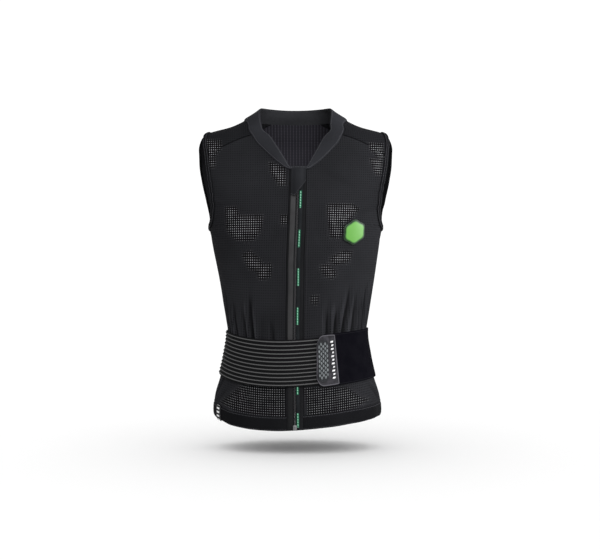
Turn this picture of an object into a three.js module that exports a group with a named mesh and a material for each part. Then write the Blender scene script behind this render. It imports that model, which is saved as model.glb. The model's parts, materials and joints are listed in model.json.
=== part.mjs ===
// Sleeveless zip-front protector vest with a back pad and a fastened waist belt, as worn.
// Millimetres, +Z up, the front faces -Y and +X is the wearer's left.
// The origin lies between the shoulders, on the level where the vest rests on them.
// Every piece lies on one body surface. A place on it is [turn, run]: turn is the angle round the body
// from the centre front towards the wearer's left, and run is the length up the side outline from the hem.

import * as THREE from 'three';

const deg = Math.PI / 180;
const mix = THREE.MathUtils.lerp;
const { clamp, smoothstep } = THREE.MathUtils;

// Sizes of the body that the cloth follows
const bodyLength = 600;
const chestHalfWidth = 177;
const chestHalfDepth = 118;
const bodySquareness = 2.25;
const frontSag = 26;
const backSagShare = 0.4;
const zipLean = 6;

// Cloth and clearances
const cloth = 1.6;
const seamGap = 0.8;
const layerGap = 0.6;

// Neck and collar
const neckDrop = 108;
const collarHeight = 25;
const collarCloth = 2.6;
const collarLap = 4;

// Armholes and their binding
const shoulderLength = 82;
const underarmDrop = 215;
const armholeFrontReach = 34.5 * deg;
const armholeBackReach = 24 * deg;
const armholeSquareness = 2.6;
const bindingWidth = 9;
const bindingCloth = 1.8;
const bindingLap = 6;
const trimGap = 1;

// Yokes over the shoulders
const yokeFrontDrop = 78;
const yokeBackDrop = 92;

// Centre front
const placketEdge = 16.5;
const chainWidth = 5;
const chainHeight = 2;
const rightTapeWidth = 10;
const leftTapeWidth = 6.5;
const tapeCloth = 0.8;
const sliderWidth = 10;
const sliderLength = 14;
const sliderHeight = 2.6;
const flapCloth = 1.6;
const flapHalfWidth = 15.5;
const flapLength = 60;
const boxWidth = 8;
const boxLength = 11;
const boxHeight = 2.4;

// Hem
const hemHeight = 28;
const hemCloth = 2.6;

// Waist folds above the belt
const foldDepth = 4.5;

// Belt. beltAboveHem is the height of its middle.
const beltAboveHem = 129;
const ribbedHeight = 90;
const ribCount = 12;
const ribRise = 1.5;
const ribbedCloth = 1.6;
const loopHeight = 101;
const loopCloth = 2.4;
const ribbedFrontEnd = 56;
const loopFrontStart = 59;
const beltBackEnd = 148 * deg;

// Grip tab on the belt's front end
const tabStart = 45;
const tabWidth = 38;
const tabSlant = 9;
const tabHeight = 99;
const tabThickness = 2.2;
const gripWidth = 21;
const gripHeight = 84;
const stripeWidth = 8;
const stripeHeight = 80;
const reliefRise = 1.2;

// Back pad, the lining that holds it and the two chest pads
const backPadThickness = 12;
const backPadTopDrop = 62;
const backPadAboveHem = 52;
const backPadHalfTurn = 42 * deg;
const liningCloth = 1;
const chestPadThickness = 7;
const chestPadTopDrop = 148;
const chestPadBottomDrop = 292;
const chestPadTurn = 31 * deg;
const chestPadHalfTurn = 20 * deg;
const grooveShare = 0.3;
const padGap = 2.3;

// Chest badge and side label
const badgeAcross = 114;
const badgeDrop = 229;
const badgeWidth = 42;
const badgeHeight = 50;
const badgeTilt = 28 * deg;
const badgeThickness = 1.6;
const labelTurn = -64 * deg;
const labelWidth = 12;
const labelHeight = 30;
const labelThickness = 1;

// Horizontal sections of the worn vest, from the hem up. drop is a share of bodyLength, rise of
// collarHeight, width of chestHalfWidth, front and back of chestHalfDepth, and sag of frontSag.
const sections = [
  { drop: 1.000, rise: 0.00, width: 0.970, front: 0.907, back: 0.958, sag: 0.80 },
  { drop: 0.933, rise: 0.00, width: 0.946, front: 0.898, back: 0.915, sag: 0.80 },
  { drop: 0.867, rise: 0.00, width: 0.884, front: 0.873, back: 0.822, sag: 0.79 },
  { drop: 0.793, rise: 0.00, width: 0.829, front: 0.839, back: 0.754, sag: 0.73 },
  { drop: 0.717, rise: 0.00, width: 0.794, front: 0.822, back: 0.729, sag: 0.62 },
  { drop: 0.670, rise: 0.00, width: 0.816, front: 0.831, back: 0.729, sag: 0.50 },
  { drop: 0.608, rise: 0.00, width: 0.853, front: 0.856, back: 0.754, sag: 0.35 },
  { drop: 0.527, rise: 0.00, width: 0.898, front: 0.898, back: 0.814, sag: 0.15 },
  { drop: 0.443, rise: 0.00, width: 0.949, front: 0.958, back: 0.898, sag: 0.03 },
  { drop: 0.358, rise: 0.00, width: 1.000, front: 1.008, back: 0.975, sag: 0.00 },
  { drop: 0.262, rise: 0.00, width: 1.115, front: 0.983, back: 1.000, sag: 0.00 },
  { drop: 0.200, rise: 0.00, width: 1.172, front: 0.924, back: 0.975, sag: 0.00 },
  { drop: 0.142, rise: 0.00, width: 1.200, front: 0.831, back: 0.924, sag: 0.00 },
  { drop: 0.092, rise: 0.00, width: 1.190, front: 0.720, back: 0.856, sag: 0.00 },
  { drop: 0.057, rise: 0.00, width: 1.125, front: 0.602, back: 0.788, sag: 0.00 },
  { drop: 0.041, rise: 0.00, width: 1.010, front: 0.542, back: 0.754, sag: 0.00 },
  { drop: 0.020, rise: 0.00, width: 0.755, front: 0.492, back: 0.712, sag: 0.00 },
  { drop: 0.000, rise: 0.16, width: 0.565, front: 0.432, back: 0.653, sag: 0.00 },
  { drop: 0.000, rise: 0.64, width: 0.472, front: 0.381, back: 0.585, sag: 0.00 },
  { drop: 0.000, rise: 1.16, width: 0.390, front: 0.339, back: 0.525, sag: 0.00 },
];

// The collar from the zip round to the centre back: its seam and its free edge. Turns are in degrees,
// drops are shares of neckDrop and rises of collarHeight.
const neckline = [
  { seamTurn: 1.0, seamDrop: 1.000, seamRise: 0.00, edgeTurn: 1.0, edgeDrop: 0.955, edgeRise: 0.00 },
  { seamTurn: 5.2, seamDrop: 0.986, seamRise: 0.00, edgeTurn: 4.1, edgeDrop: 0.942, edgeRise: 0.00 },
  { seamTurn: 10.8, seamDrop: 0.857, seamRise: 0.00, edgeTurn: 7.1, edgeDrop: 0.778, edgeRise: 0.00 },
  { seamTurn: 16.7, seamDrop: 0.667, seamRise: 0.00, edgeTurn: 10.3, edgeDrop: 0.593, edgeRise: 0.00 },
  { seamTurn: 21.8, seamDrop: 0.490, seamRise: 0.00, edgeTurn: 13.4, edgeDrop: 0.426, edgeRise: 0.00 },
  { seamTurn: 28.0, seamDrop: 0.278, seamRise: 0.00, edgeTurn: 19.8, edgeDrop: 0.259, edgeRise: 0.00 },
  { seamTurn: 41.0, seamDrop: 0.130, seamRise: 0.00, edgeTurn: 29.0, edgeDrop: 0.120, edgeRise: 0.00 },
  { seamTurn: 52.0, seamDrop: 0.060, seamRise: 0.00, edgeTurn: 40.8, edgeDrop: 0.000, edgeRise: 0.08 },
  { seamTurn: 65.0, seamDrop: 0.018, seamRise: 0.00, edgeTurn: 56.0, edgeDrop: 0.000, edgeRise: 0.56 },
  { seamTurn: 90.0, seamDrop: 0.000, seamRise: 0.10, edgeTurn: 84.0, edgeDrop: 0.000, edgeRise: 1.00 },
  { seamTurn: 120.0, seamDrop: 0.000, seamRise: 0.10, edgeTurn: 120.0, edgeDrop: 0.000, edgeRise: 1.12 },
  { seamTurn: 150.0, seamDrop: 0.000, seamRise: 0.08, edgeTurn: 150.0, edgeDrop: 0.000, edgeRise: 1.15 },
  { seamTurn: 180.0, seamDrop: 0.000, seamRise: 0.04, edgeTurn: 180.0, edgeDrop: 0.000, edgeRise: 1.15 },
];
const panelCollarRow = 1;
const yokeFrontRow = 4.7;
const yokeBackRow = 11;
const centreBackRow = neckline.length - 1;

// Upright folds above the belt. at and spread are turns in degrees, top is a share of bodyLength
// and depth a share of foldDepth.
const folds = [
  { at: -118, spread: 6.5, top: 0.60, depth: 0.6 },
  { at: -104, spread: 6.0, top: 0.57, depth: 0.7 },
  { at: -67.5, spread: 5.5, top: 0.60, depth: 0.8 },
  { at: -54.5, spread: 5.0, top: 0.63, depth: 0.9 },
  { at: -44, spread: 5.0, top: 0.65, depth: 0.7 },
  { at: -36, spread: 4.5, top: 0.57, depth: 1.0 },
  { at: -19, spread: 5.0, top: 0.67, depth: 0.4 },
  { at: 25.5, spread: 4.5, top: 0.64, depth: 0.8 },
  { at: 33.5, spread: 4.0, top: 0.65, depth: 0.9 },
  { at: 41.5, spread: 4.5, top: 0.54, depth: 1.0 },
  { at: 50.5, spread: 5.0, top: 0.52, depth: 0.7 },
  { at: 63, spread: 5.0, top: 0.55, depth: 0.8 },
  { at: 78, spread: 5.5, top: 0.63, depth: 0.6 },
  { at: 104, spread: 6.0, top: 0.57, depth: 0.7 },
  { at: 118, spread: 6.5, top: 0.60, depth: 0.6 },
];

// A smooth curve through the points (keys[i], values[i]) that doesn't overshoot, straight past its ends.
function smoothCurve(keys, values) {
  const last = keys.length - 1;
  const slopes = keys.slice(1).map((key, i) => (values[i + 1] - values[i]) / (key - keys[i]));
  const tangents = keys.map((_, i) => {
    if (i === 0) return slopes[0];
    if (i === last) return slopes[last - 1];
    const before = slopes[i - 1];
    const after = slopes[i];
    return before * after <= 0 ? 0 : (2 * before * after) / (before + after);
  });
  return (key) => {
    if (key <= keys[0]) return values[0] + tangents[0] * (key - keys[0]);
    if (key >= keys[last]) return values[last] + tangents[last] * (key - keys[last]);
    let i = 0;
    while (key > keys[i + 1]) i += 1;
    const span = keys[i + 1] - keys[i];
    const t = (key - keys[i]) / span;
    const ease = t * t * (3 - 2 * t);
    const bendIn = t * (1 - t) * (1 - t) * span;
    const bendOut = t * t * (t - 1) * span;
    return mix(values[i], values[i + 1], ease) + tangents[i] * bendIn + tangents[i + 1] * bendOut;
  };
}

// The body surface
const sectionLevels = sections.map((s) => s.rise * collarHeight - s.drop * bodyLength);
const sectionWidths = sections.map((s) => s.width * chestHalfWidth);
const sectionRuns = sections.map(() => 0);
for (let i = 1; i < sections.length; i += 1) {
  const across = sectionWidths[i] - sectionWidths[i - 1];
  const up = sectionLevels[i] - sectionLevels[i - 1];
  sectionRuns[i] = sectionRuns[i - 1] + Math.hypot(across, up);
}
const levelAt = smoothCurve(sectionRuns, sectionLevels);
const widthAt = smoothCurve(sectionRuns, sectionWidths);
const frontAt = smoothCurve(sectionRuns, sections.map((s) => s.front * chestHalfDepth));
const backAt = smoothCurve(sectionRuns, sections.map((s) => s.back * chestHalfDepth));
const sagAt = smoothCurve(sectionRuns, sections.map((s) => s.sag * frontSag));

function runAt(level) {
  let low = -bodyLength;
  let high = 2 * bodyLength;
  for (let i = 0; i < 60; i += 1) {
    const middle = (low + high) / 2;
    if (levelAt(middle) < level) low = middle;
    else high = middle;
  }
  return (low + high) / 2;
}

// How far round an oval of unit reach a direction lies, for a given squareness.
function roundness(turn, squareness) {
  const power = Math.abs(Math.sin(turn)) ** squareness + Math.abs(Math.cos(turn)) ** squareness;
  return power ** (1 / squareness);
}

// The turn that lies a distance across from the centre front, as seen from the front.
function turnAcross(across, run) {
  const share = clamp(across / widthAt(run), -0.999, 0.999);
  const rest = (1 - Math.abs(share) ** bodySquareness) ** (1 / bodySquareness);
  return Math.atan2(share, rest);
}

const beltRun = runAt(beltAboveHem - bodyLength);
const collarRun = runAt(sectionLevels.at(-3));
const zipTopRun = runAt(-neckDrop);

function foldInset(turn, run) {
  const level = levelAt(run);
  const beltTop = levelAt(beltRun + ribbedHeight / 2);
  let inset = 0;
  for (const fold of folds) {
    const away = Math.abs(turn - fold.at * deg) / (fold.spread * deg);
    const foldTop = -fold.top * bodyLength;
    if (away < 1 && level < foldTop) {
      const above = smoothstep(foldTop - level, 0, foldTop - beltTop);
      const below = 1 - smoothstep(beltTop - level, 0, ribbedHeight / 2);
      inset += fold.depth * foldDepth * 0.5 * (1 + Math.cos(Math.PI * away)) * above * below;
    }
  }
  return inset;
}

function bodySurface(turn, run, inset) {
  const leanUp = run < zipTopRun ? run / zipTopRun : 1 - smoothstep(run, zipTopRun, collarRun);
  const leanShare = leanUp * Math.cos(turn / 2) ** 4;
  const angle = turn + (zipLean / widthAt(run)) * leanShare;
  const reach = roundness(angle, bodySquareness);
  const depth = Math.cos(angle) > 0 ? frontAt(run) : backAt(run);
  const sagShare = Math.cos(angle) > 0 ? 1 : backSagShare;
  const point = new THREE.Vector3(
    (widthAt(run) * Math.sin(angle)) / reach,
    (-depth * Math.cos(angle)) / reach,
    0,
  );
  point.multiplyScalar(1 - inset / point.length());
  point.z = levelAt(run) - sagShare * sagAt(run) * Math.cos(angle) ** 2;
  return point;
}

function liftedPoint(turn, run, lift, insetAt) {
  const step = 0.5;
  const turnStep = step / chestHalfDepth;
  const at = (turnShift, runShift) => bodySurface(
    turn + turnShift,
    run + runShift,
    insetAt(turn + turnShift, run + runShift),
  );
  const round = at(turnStep, 0).sub(at(-turnStep, 0));
  const up = at(0, step).sub(at(0, -step));
  return at(0, 0).addScaledVector(round.cross(up).normalize(), lift);
}

// A place on the smooth body, and one on the cloth, which folds in above the belt.
const onBody = (turn, run, lift) => liftedPoint(turn, run, lift, () => 0);
const onCloth = (turn, run, lift) => liftedPoint(turn, run, lift, foldInset);

function evenStops(count, from = 0, to = 1) {
  return Array.from({ length: count + 1 }, (_, i) => mix(from, to, i / count));
}

// A closed wall between an outer and an inner grid. place(s, t) gives [turn, run], and outer and inner
// give the lifts off the surface. A ring's last column meets its first one.
function wall({ name, finish, columns, rows, place, outer, inner, on = onCloth, ring = false }) {
  const across = columns.length;
  const points = [];
  for (const lift of [outer, inner]) {
    for (const t of rows) {
      for (const s of columns) {
        const [turn, run] = place(s, t);
        points.push(on(turn, run, typeof lift === 'function' ? lift(s, t) : lift));
      }
    }
  }
  const layer = across * rows.length;
  const triangles = [];
  const quad = (a, b, c, d) => triangles.push(a, b, c, a, c, d);
  const columnSteps = ring ? across : across - 1;
  for (let i = 0; i < columnSteps; i += 1) {
    const next = (i + 1) % across;
    for (let j = 0; j < rows.length - 1; j += 1) {
      const below = j * across;
      const above = below + across;
      quad(below + i, below + next, above + next, above + i);
      quad(layer + below + i, layer + above + i, layer + above + next, layer + below + next);
    }
    const top = (rows.length - 1) * across;
    quad(layer + i, layer + next, next, i);
    quad(top + i, top + next, layer + top + next, layer + top + i);
  }
  for (let j = 0; j < rows.length - 1 && !ring; j += 1) {
    const below = j * across;
    const above = below + across;
    const end = across - 1;
    quad(layer + below, below, above, layer + above);
    quad(below + end, layer + below + end, layer + above + end, above + end);
  }
  return closedMesh(name, finish, points, triangles);
}

// A mesh whose faces point out, whichever way its grid ran.
function closedMesh(name, finish, points, triangles) {
  let volume = 0;
  for (let i = 0; i < triangles.length; i += 3) {
    const [a, b, c] = [0, 1, 2].map((k) => points[triangles[i + k]]);
    volume += a.dot(b.clone().cross(c));
  }
  if (volume < 0) triangles.reverse();
  const geometry = new THREE.BufferGeometry().setFromPoints(points);
  geometry.setIndex(triangles);
  geometry.computeVertexNormals();
  const mesh = new THREE.Mesh(geometry, finishes[finish]);
  mesh.name = name;
  return mesh;
}

const finishes = {
  knit: new THREE.MeshStandardMaterial({ color: 0x232427, roughness: 0.8 }),
  trim: new THREE.MeshStandardMaterial({ color: 0x2b2d30, roughness: 0.7 }),
  zipTape: new THREE.MeshStandardMaterial({ color: 0x4a4a4c, roughness: 0.55 }),
  zip: new THREE.MeshStandardMaterial({ color: 0x303033, roughness: 0.4 }),
  ribbedElastic: new THREE.MeshStandardMaterial({ color: 0x3a3a3c, roughness: 0.7 }),
  loopPile: new THREE.MeshStandardMaterial({ color: 0x0e0e12, roughness: 0.95 }),
  rubber: new THREE.MeshStandardMaterial({ color: 0x34383b, roughness: 0.5 }),
  white: new THREE.MeshStandardMaterial({ color: 0xe6e6e6, roughness: 0.6 }),
  green: new THREE.MeshStandardMaterial({ color: 0x6fd24f, roughness: 0.45 }),
  foam: new THREE.MeshStandardMaterial({ color: 0x1c1c1f, roughness: 0.9 }),
};

// Armholes: an oval in turn and run round the side of the body, on the side that side is 1 or -1 for.
const underarmRun = runAt(-underarmDrop);
const armholeTopRun = collarRun - shoulderLength;
const armholeMiddle = (underarmRun + armholeTopRun) / 2;
const armholeHalf = (armholeTopRun - underarmRun) / 2;
const turnPerMillimetre = 1 / (1.17 * chestHalfDepth);

function armholeReach(towardsFront, grow) {
  return (towardsFront ? armholeFrontReach : armholeBackReach) + grow * turnPerMillimetre;
}

// The turn of the armhole's front or back edge at a run, or the side seam below and above it.
function armholeTurn(run, towardsFront, grow) {
  const share = Math.min(Math.abs(run - armholeMiddle) / (armholeHalf + grow), 1);
  const open = (1 - share ** armholeSquareness) ** (1 / armholeSquareness);
  const depth = towardsFront ? frontAt(run) : backAt(run);
  const away = Math.max(armholeReach(towardsFront, grow) * open, seamGap / 2 / depth);
  return Math.PI / 2 + (towardsFront ? -away : away);
}

// The place on the armhole's edge at an angle round it, 0 at the front and 90 degrees at the top.
function armholePlace(angle, grow, side) {
  const reach = roundness(angle, armholeSquareness);
  const towardsFront = Math.cos(angle) > 0;
  const away = (armholeReach(towardsFront, grow) * Math.cos(angle)) / reach;
  const run = armholeMiddle + ((armholeHalf + grow) * Math.sin(angle)) / reach;
  return [side * (Math.PI / 2 - away), run];
}

// The angle round the armhole's edge where it passes a run, above its middle.
function armholeAngle(run, grow) {
  const share = (run - armholeMiddle) / (armholeHalf + grow);
  return Math.atan2(share, (1 - share ** armholeSquareness) ** (1 / armholeSquareness));
}

// The collar's seam and free edge as smooth curves over the rows of the neckline.
const necklineRows = neckline.map((_, i) => i);
const necklineCurve = (value) => smoothCurve(necklineRows, neckline.map(value));
const seamTurnAt = necklineCurve((n) => n.seamTurn * deg);
const seamRunAt = necklineCurve((n) => runAt(n.seamRise * collarHeight - n.seamDrop * neckDrop));
const edgeTurnAt = necklineCurve((n) => n.edgeTurn * deg);
const edgeRunAt = necklineCurve((n) => runAt(n.edgeRise * collarHeight - n.edgeDrop * neckDrop));
const panelTopPlace = (row) => [seamTurnAt(row), seamRunAt(row) + collarLap];

// Yoke seams run straight from under the collar to under the armhole binding.
const armholeInset = bindingWidth - bindingLap;
const yokeFrontStart = panelTopPlace(yokeFrontRow);
const yokeBackStart = panelTopPlace(yokeBackRow);
const yokeFrontAngle = armholeAngle(runAt(-yokeFrontDrop), armholeInset);
const yokeBackAngle = armholeAngle(runAt(-yokeBackDrop), armholeInset);
const yokeFrontEnd = armholePlace(yokeFrontAngle, armholeInset, 1);
const yokeBackEnd = armholePlace(Math.PI - yokeBackAngle, armholeInset, 1);
const mixPlaces = (a, b, share) => [mix(a[0], b[0], share), mix(a[1], b[1], share)];

// Columns of a front panel: a few up to the yoke seam, then one on each fold and between folds.
const yokeShare = 0.38;
function yokeColumns(side) {
  const turns = folds
    .map((fold) => (fold.at * side) / 90)
    .filter((share) => share > yokeShare + 0.02 && share < 1)
    .sort((a, b) => a - b);
  const marks = [yokeShare, ...turns, 1];
  return marks.flatMap((mark, i) => (i === 0 ? [mark] : [(mark + marks[i - 1]) / 2, mark]));
}
const frontColumns = (side) => [...evenStops(5, 0, yokeShare).slice(0, -1), ...yokeColumns(side)];
const yokeStops = (side) => yokeColumns(side).map((share) => (share - yokeShare) / (1 - yokeShare));

const panelBottomRun = hemHeight + seamGap;

// The place share s of the way across a panel and t of the way up, between two upright edges.
function panelPlace(s, t, top, inner, outer) {
  const run = mix(panelBottomRun, top[1], t);
  const topShare = (top[0] - inner(top[1])) / (outer(top[1]) - inner(top[1]));
  const share = mix(s, topShare, t ** 3);
  return [mix(inner(run), outer(run), share), run];
}

function frontPanel(name, side) {
  const topAt = (s) => {
    if (s < yokeShare) return panelTopPlace(mix(panelCollarRow, yokeFrontRow, s / yokeShare));
    const [turn, run] = mixPlaces(yokeFrontStart, yokeFrontEnd, (s - yokeShare) / (1 - yokeShare));
    return [turn, run - seamGap / 2];
  };
  const placketSide = (run) => placketEdge / widthAt(run);
  const armSide = (run) => armholeTurn(run, true, armholeInset);
  return wall({
    name,
    finish: 'knit',
    columns: frontColumns(side),
    rows: evenStops(17),
    place: (s, t) => {
      const [turn, run] = panelPlace(s, t, topAt(s), placketSide, armSide);
      return [side * turn, run];
    },
    outer: 0,
    inner: -cloth,
  });
}

// The back is one panel. s runs from -1 at the wearer's right side seam to 1 at the left.
function backPanel() {
  const neckShare = 0.3;
  const topAt = (s) => {
    const share = Math.abs(s);
    if (share <= neckShare) return panelTopPlace(mix(centreBackRow, yokeBackRow, share / neckShare));
    const [turn, run] = mixPlaces(yokeBackStart, yokeBackEnd, (share - neckShare) / (1 - neckShare));
    return [turn, run - seamGap / 2];
  };
  const half = (side) => yokeStops(side).map((stop) => side * mix(neckShare, 1, stop));
  const neckColumns = evenStops(6, -neckShare, neckShare).slice(1, -1);
  const columns = [...half(-1).reverse(), ...neckColumns, ...half(1)];
  return wall({
    name: 'back_panel',
    finish: 'knit',
    columns,
    rows: evenStops(15),
    place: (s, t) => {
      const share = Math.abs(s);
      const armSide = (run) => armholeTurn(run, false, armholeInset);
      const [turn, run] = panelPlace(share, t, topAt(s), () => Math.PI, armSide);
      return [s < 0 ? -turn : turn - 2 * Math.PI, run];
    },
    outer: 0,
    inner: -cloth,
  });
}

// A yoke runs from its front seam over the shoulder to its back seam, and from the collar to the arm.
function yoke(name, side) {
  const placeOf = (s, t) => {
    const collarRow = mix(yokeFrontRow, yokeBackRow, t);
    const armAngle = mix(yokeFrontAngle, Math.PI - yokeBackAngle, t);
    const [turn, run] = mixPlaces(panelTopPlace(collarRow), armholePlace(armAngle, armholeInset, 1), s);
    const seam = t === 0 || t === 1 ? seamGap / 2 : 0;
    return [side * turn, run + seam];
  };
  return wall({
    name,
    finish: 'knit',
    columns: yokeStops(side),
    rows: evenStops(8),
    place: placeOf,
    outer: 0,
    inner: -cloth,
  });
}

function armholeBinding(name, side) {
  const angles = evenStops(32, 0, 2 * Math.PI).slice(0, -1);
  return wall({
    name,
    finish: 'trim',
    columns: angles,
    rows: [0, 0.5, 1],
    ring: true,
    place: (angle, t) => armholePlace(angle, t * bindingWidth, side),
    outer: (angle, t) => trimGap + bindingCloth * (t === 0.5 ? 1 : 0.7),
    inner: trimGap,
  });
}

// The collar goes from the wearer's right of the zip round the back to the left, once round in s.
function collar() {
  return wall({
    name: 'collar',
    finish: 'trim',
    columns: evenStops(48),
    rows: [0, 0.35, 0.7, 1],
    on: onBody,
    place: (s, t) => {
      const row = centreBackRow * (1 - Math.abs(1 - 2 * s));
      const [turn, run] = mixPlaces(
        [seamTurnAt(row), seamRunAt(row)],
        [edgeTurnAt(row), edgeRunAt(row)],
        t,
      );
      return [s > 0.5 ? turn - 2 * Math.PI : -turn, run];
    },
    outer: trimGap + collarCloth,
    inner: trimGap,
  });
}

// The hem band goes round from one placket to the other, past the centre back.
function hemBand() {
  const start = placketEdge / widthAt(0);
  return wall({
    name: 'hem_band',
    finish: 'trim',
    columns: evenStops(44, start, 2 * Math.PI - start),
    rows: [0, 0.5, 1],
    place: (turn, t) => [turn, t * hemHeight],
    outer: hemCloth - cloth,
    inner: -cloth,
    on: onBody,
  });
}

// A strip beside the zip, between two distances across from it.
function frontStrip({ name, finish, from, to, bottom = 0, top, outer, inner, steps = 22 }) {
  return wall({
    name,
    finish,
    columns: [from, to],
    rows: evenStops(steps),
    place: (across, t) => {
      const run = mix(bottom, top, t);
      return [across / widthAt(run), run];
    },
    outer,
    inner,
    on: onBody,
  });
}

function frontClosure() {
  const chainSide = chainWidth / 2;
  const placketStart = chainSide + seamGap;
  const stripTop = zipTopRun - seamGap;
  const tapeLift = layerGap + tapeCloth;
  const placket = (name, side) => frontStrip({
    name,
    finish: 'trim',
    from: side * placketStart,
    to: side * (placketEdge - seamGap),
    top: stripTop,
    outer: 0,
    inner: -cloth,
  });
  const tape = (name, side, width) => frontStrip({
    name,
    finish: 'zipTape',
    from: side * placketStart,
    to: side * (placketStart + width),
    bottom: seamGap,
    top: stripTop - seamGap,
    outer: tapeLift,
    inner: layerGap,
  });
  const closure = new THREE.Group();
  closure.add(
    placket('placket_right', -1),
    placket('placket_left', 1),
    tape('zip_tape_right', -1, rightTapeWidth),
    tape('zip_tape_left', 1, leftTapeWidth),
    frontStrip({
      name: 'zip_chain',
      finish: 'zip',
      from: -chainSide,
      to: chainSide,
      bottom: boxLength + seamGap,
      top: stripTop - seamGap,
      outer: chainHeight,
      inner: 0,
    }),
    frontStrip({
      name: 'zip_box',
      finish: 'zip',
      from: -boxWidth / 2,
      to: boxWidth / 2,
      top: boxLength,
      outer: tapeLift + layerGap + boxHeight,
      inner: tapeLift + layerGap,
      steps: 1,
    }),
    zipSlider(),
    zipFlap(),
  );
  return closure;
}

// The slider is parked at the top of the closed zip, under the flap.
const sliderBottom = chainHeight + layerGap;
function zipSlider() {
  const top = zipTopRun - 3 * seamGap;
  return frontStrip({
    name: 'zip_slider',
    finish: 'zip',
    from: -sliderWidth / 2,
    to: sliderWidth / 2,
    bottom: top - sliderLength,
    top,
    outer: sliderBottom + sliderHeight,
    inner: sliderBottom,
    steps: 2,
  });
}

// The flap is the collar's end turned down over the slider. Its foot is cut on a slant.
function zipFlap() {
  const foot = [
    { across: -0.85, length: 0.97 },
    { across: -0.35, length: 1.00 },
    { across: 0.05, length: 0.86 },
    { across: 0.55, length: 0.68 },
    { across: 1.00, length: 0.50 },
  ];
  const top = zipTopRun + 0.06 * neckDrop;
  const footAt = smoothCurve(foot.map((f) => f.across), foot.map((f) => f.length * flapLength));
  return wall({
    name: 'zip_flap',
    finish: 'trim',
    columns: foot.map((f) => f.across),
    rows: evenStops(5),
    on: onBody,
    place: (s, t) => {
      const run = mix(top - footAt(s), top, t);
      return [(s * flapHalfWidth) / widthAt(run), run];
    },
    outer: sliderBottom + sliderHeight + layerGap + flapCloth,
    inner: sliderBottom + sliderHeight + layerGap,
  });
}

// Belt: ribbed elastic round the wearer's right, a loop band round the left and a plain back piece.
const beltLift = chainHeight + layerGap;
function beltBand({ name, finish, from, to, height, rows, outer, steps }) {
  return wall({
    name,
    finish,
    columns: evenStops(steps, from, to),
    rows,
    place: (turn, t) => [turn, beltRun + (t - 0.5) * height],
    outer,
    inner: beltLift,
    on: onBody,
  });
}

function belt() {
  const ribRows = evenStops(2 * ribCount);
  const ribLift = (turn, t) => {
    const onRib = Math.round(t * 2 * ribCount) % 2 === 1;
    return beltLift + ribbedCloth + (onRib ? ribRise : 0);
  };
  const plainRows = evenStops(4);
  const gapTurn = seamGap / chestHalfDepth;
  const group = new THREE.Group();
  group.add(
    beltBand({
      name: 'belt_ribbed',
      finish: 'ribbedElastic',
      from: -beltBackEnd,
      to: turnAcross(ribbedFrontEnd, beltRun),
      height: ribbedHeight,
      rows: ribRows,
      outer: ribLift,
      steps: 18,
    }),
    beltBand({
      name: 'belt_loop_band',
      finish: 'loopPile',
      from: turnAcross(loopFrontStart, beltRun),
      to: beltBackEnd,
      height: loopHeight,
      rows: plainRows,
      outer: beltLift + loopCloth,
      steps: 16,
    }),
    beltBand({
      name: 'belt_back',
      finish: 'loopPile',
      from: beltBackEnd + gapTurn,
      to: 2 * Math.PI - beltBackEnd - gapTurn,
      height: loopHeight,
      rows: plainRows,
      outer: beltLift + loopCloth,
      steps: 8,
    }),
    gripTab(),
    tabRelief('tab_grip', 'rubber', tabStart + 2, gripWidth, gripHeight),
    tabRelief('tab_stripe', 'white', tabStart + gripWidth + 5, stripeWidth, stripeHeight),
  );
  return group;
}

// The tab is sewn on the ribbed end and presses onto the loop band. Its left corners are round.
const tabLift = beltLift + ribbedCloth + ribRise + layerGap;
function gripTab() {
  const corners = [
    { share: 0.00, height: 0.62 },
    { share: 0.07, height: 0.80 },
    { share: 0.18, height: 0.94 },
    { share: 0.34, height: 1.00 },
    { share: 0.67, height: 1.00 },
    { share: 1.00, height: 0.97 },
  ];
  const heightAt = smoothCurve(corners.map((c) => c.share), corners.map((c) => c.height));
  return wall({
    name: 'belt_tab',
    finish: 'rubber',
    columns: corners.map((c) => c.share),
    rows: evenStops(6, -0.5, 0.5),
    on: onBody,
    place: (s, t) => {
      const run = beltRun + t * heightAt(s) * tabHeight;
      return [turnAcross(tabStart + s * (tabWidth - t * tabSlant), run), run];
    },
    outer: tabLift + tabThickness,
    inner: tabLift,
  });
}

// A raised field with round ends on the tab.
function tabRelief(name, finish, start, width, height) {
  const bottom = tabLift + tabThickness + seamGap / 2;
  const endShare = width / height / 2;
  const halfWidthAt = (t) => {
    const intoEnd = clamp((Math.abs(t) - 0.5 + endShare) / endShare, 0, 0.97);
    return Math.sqrt(1 - intoEnd ** 2);
  };
  const ends = evenStops(3, 0.5, 0.5 - endShare);
  return wall({
    name,
    finish,
    columns: [-1, 0, 1],
    rows: [...ends.map((end) => -end), 0, ...ends.reverse()],
    on: onBody,
    place: (s, t) => {
      const run = beltRun + t * height;
      const slant = (-t * tabSlant * (start - tabStart + width / 2)) / tabWidth;
      const across = start + slant + (width / 2) * (1 + s * halfWidthAt(t));
      return [turnAcross(across, run), run];
    },
    outer: bottom + reliefRise,
    inner: bottom,
  });
}

// Foam pads inside the shell, grooved across and thinner towards the rim. s runs across from -1 to 1
// and t up from 0 to 1. round holds the half width at each height, as a share of the pad's half turn.
const padRound = [
  { t: 0.00, round: 0.62 },
  { t: 0.08, round: 0.82 },
  { t: 0.20, round: 0.90 },
  { t: 0.40, round: 0.92 },
  { t: 0.70, round: 1.00 },
  { t: 0.88, round: 0.92 },
  { t: 1.00, round: 0.62 },
];
const padRoundAt = smoothCurve(padRound.map((p) => p.t), padRound.map((p) => p.round));
const padLift = -cloth - padGap;
const padColumns = [-1, -0.82, -0.5, 0, 0.5, 0.82, 1];
const backPadSize = {
  centre: Math.PI,
  halfTurn: backPadHalfTurn,
  bottom: runAt(backPadAboveHem - bodyLength),
  top: runAt(-backPadTopDrop),
  thickness: backPadThickness,
};

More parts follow.
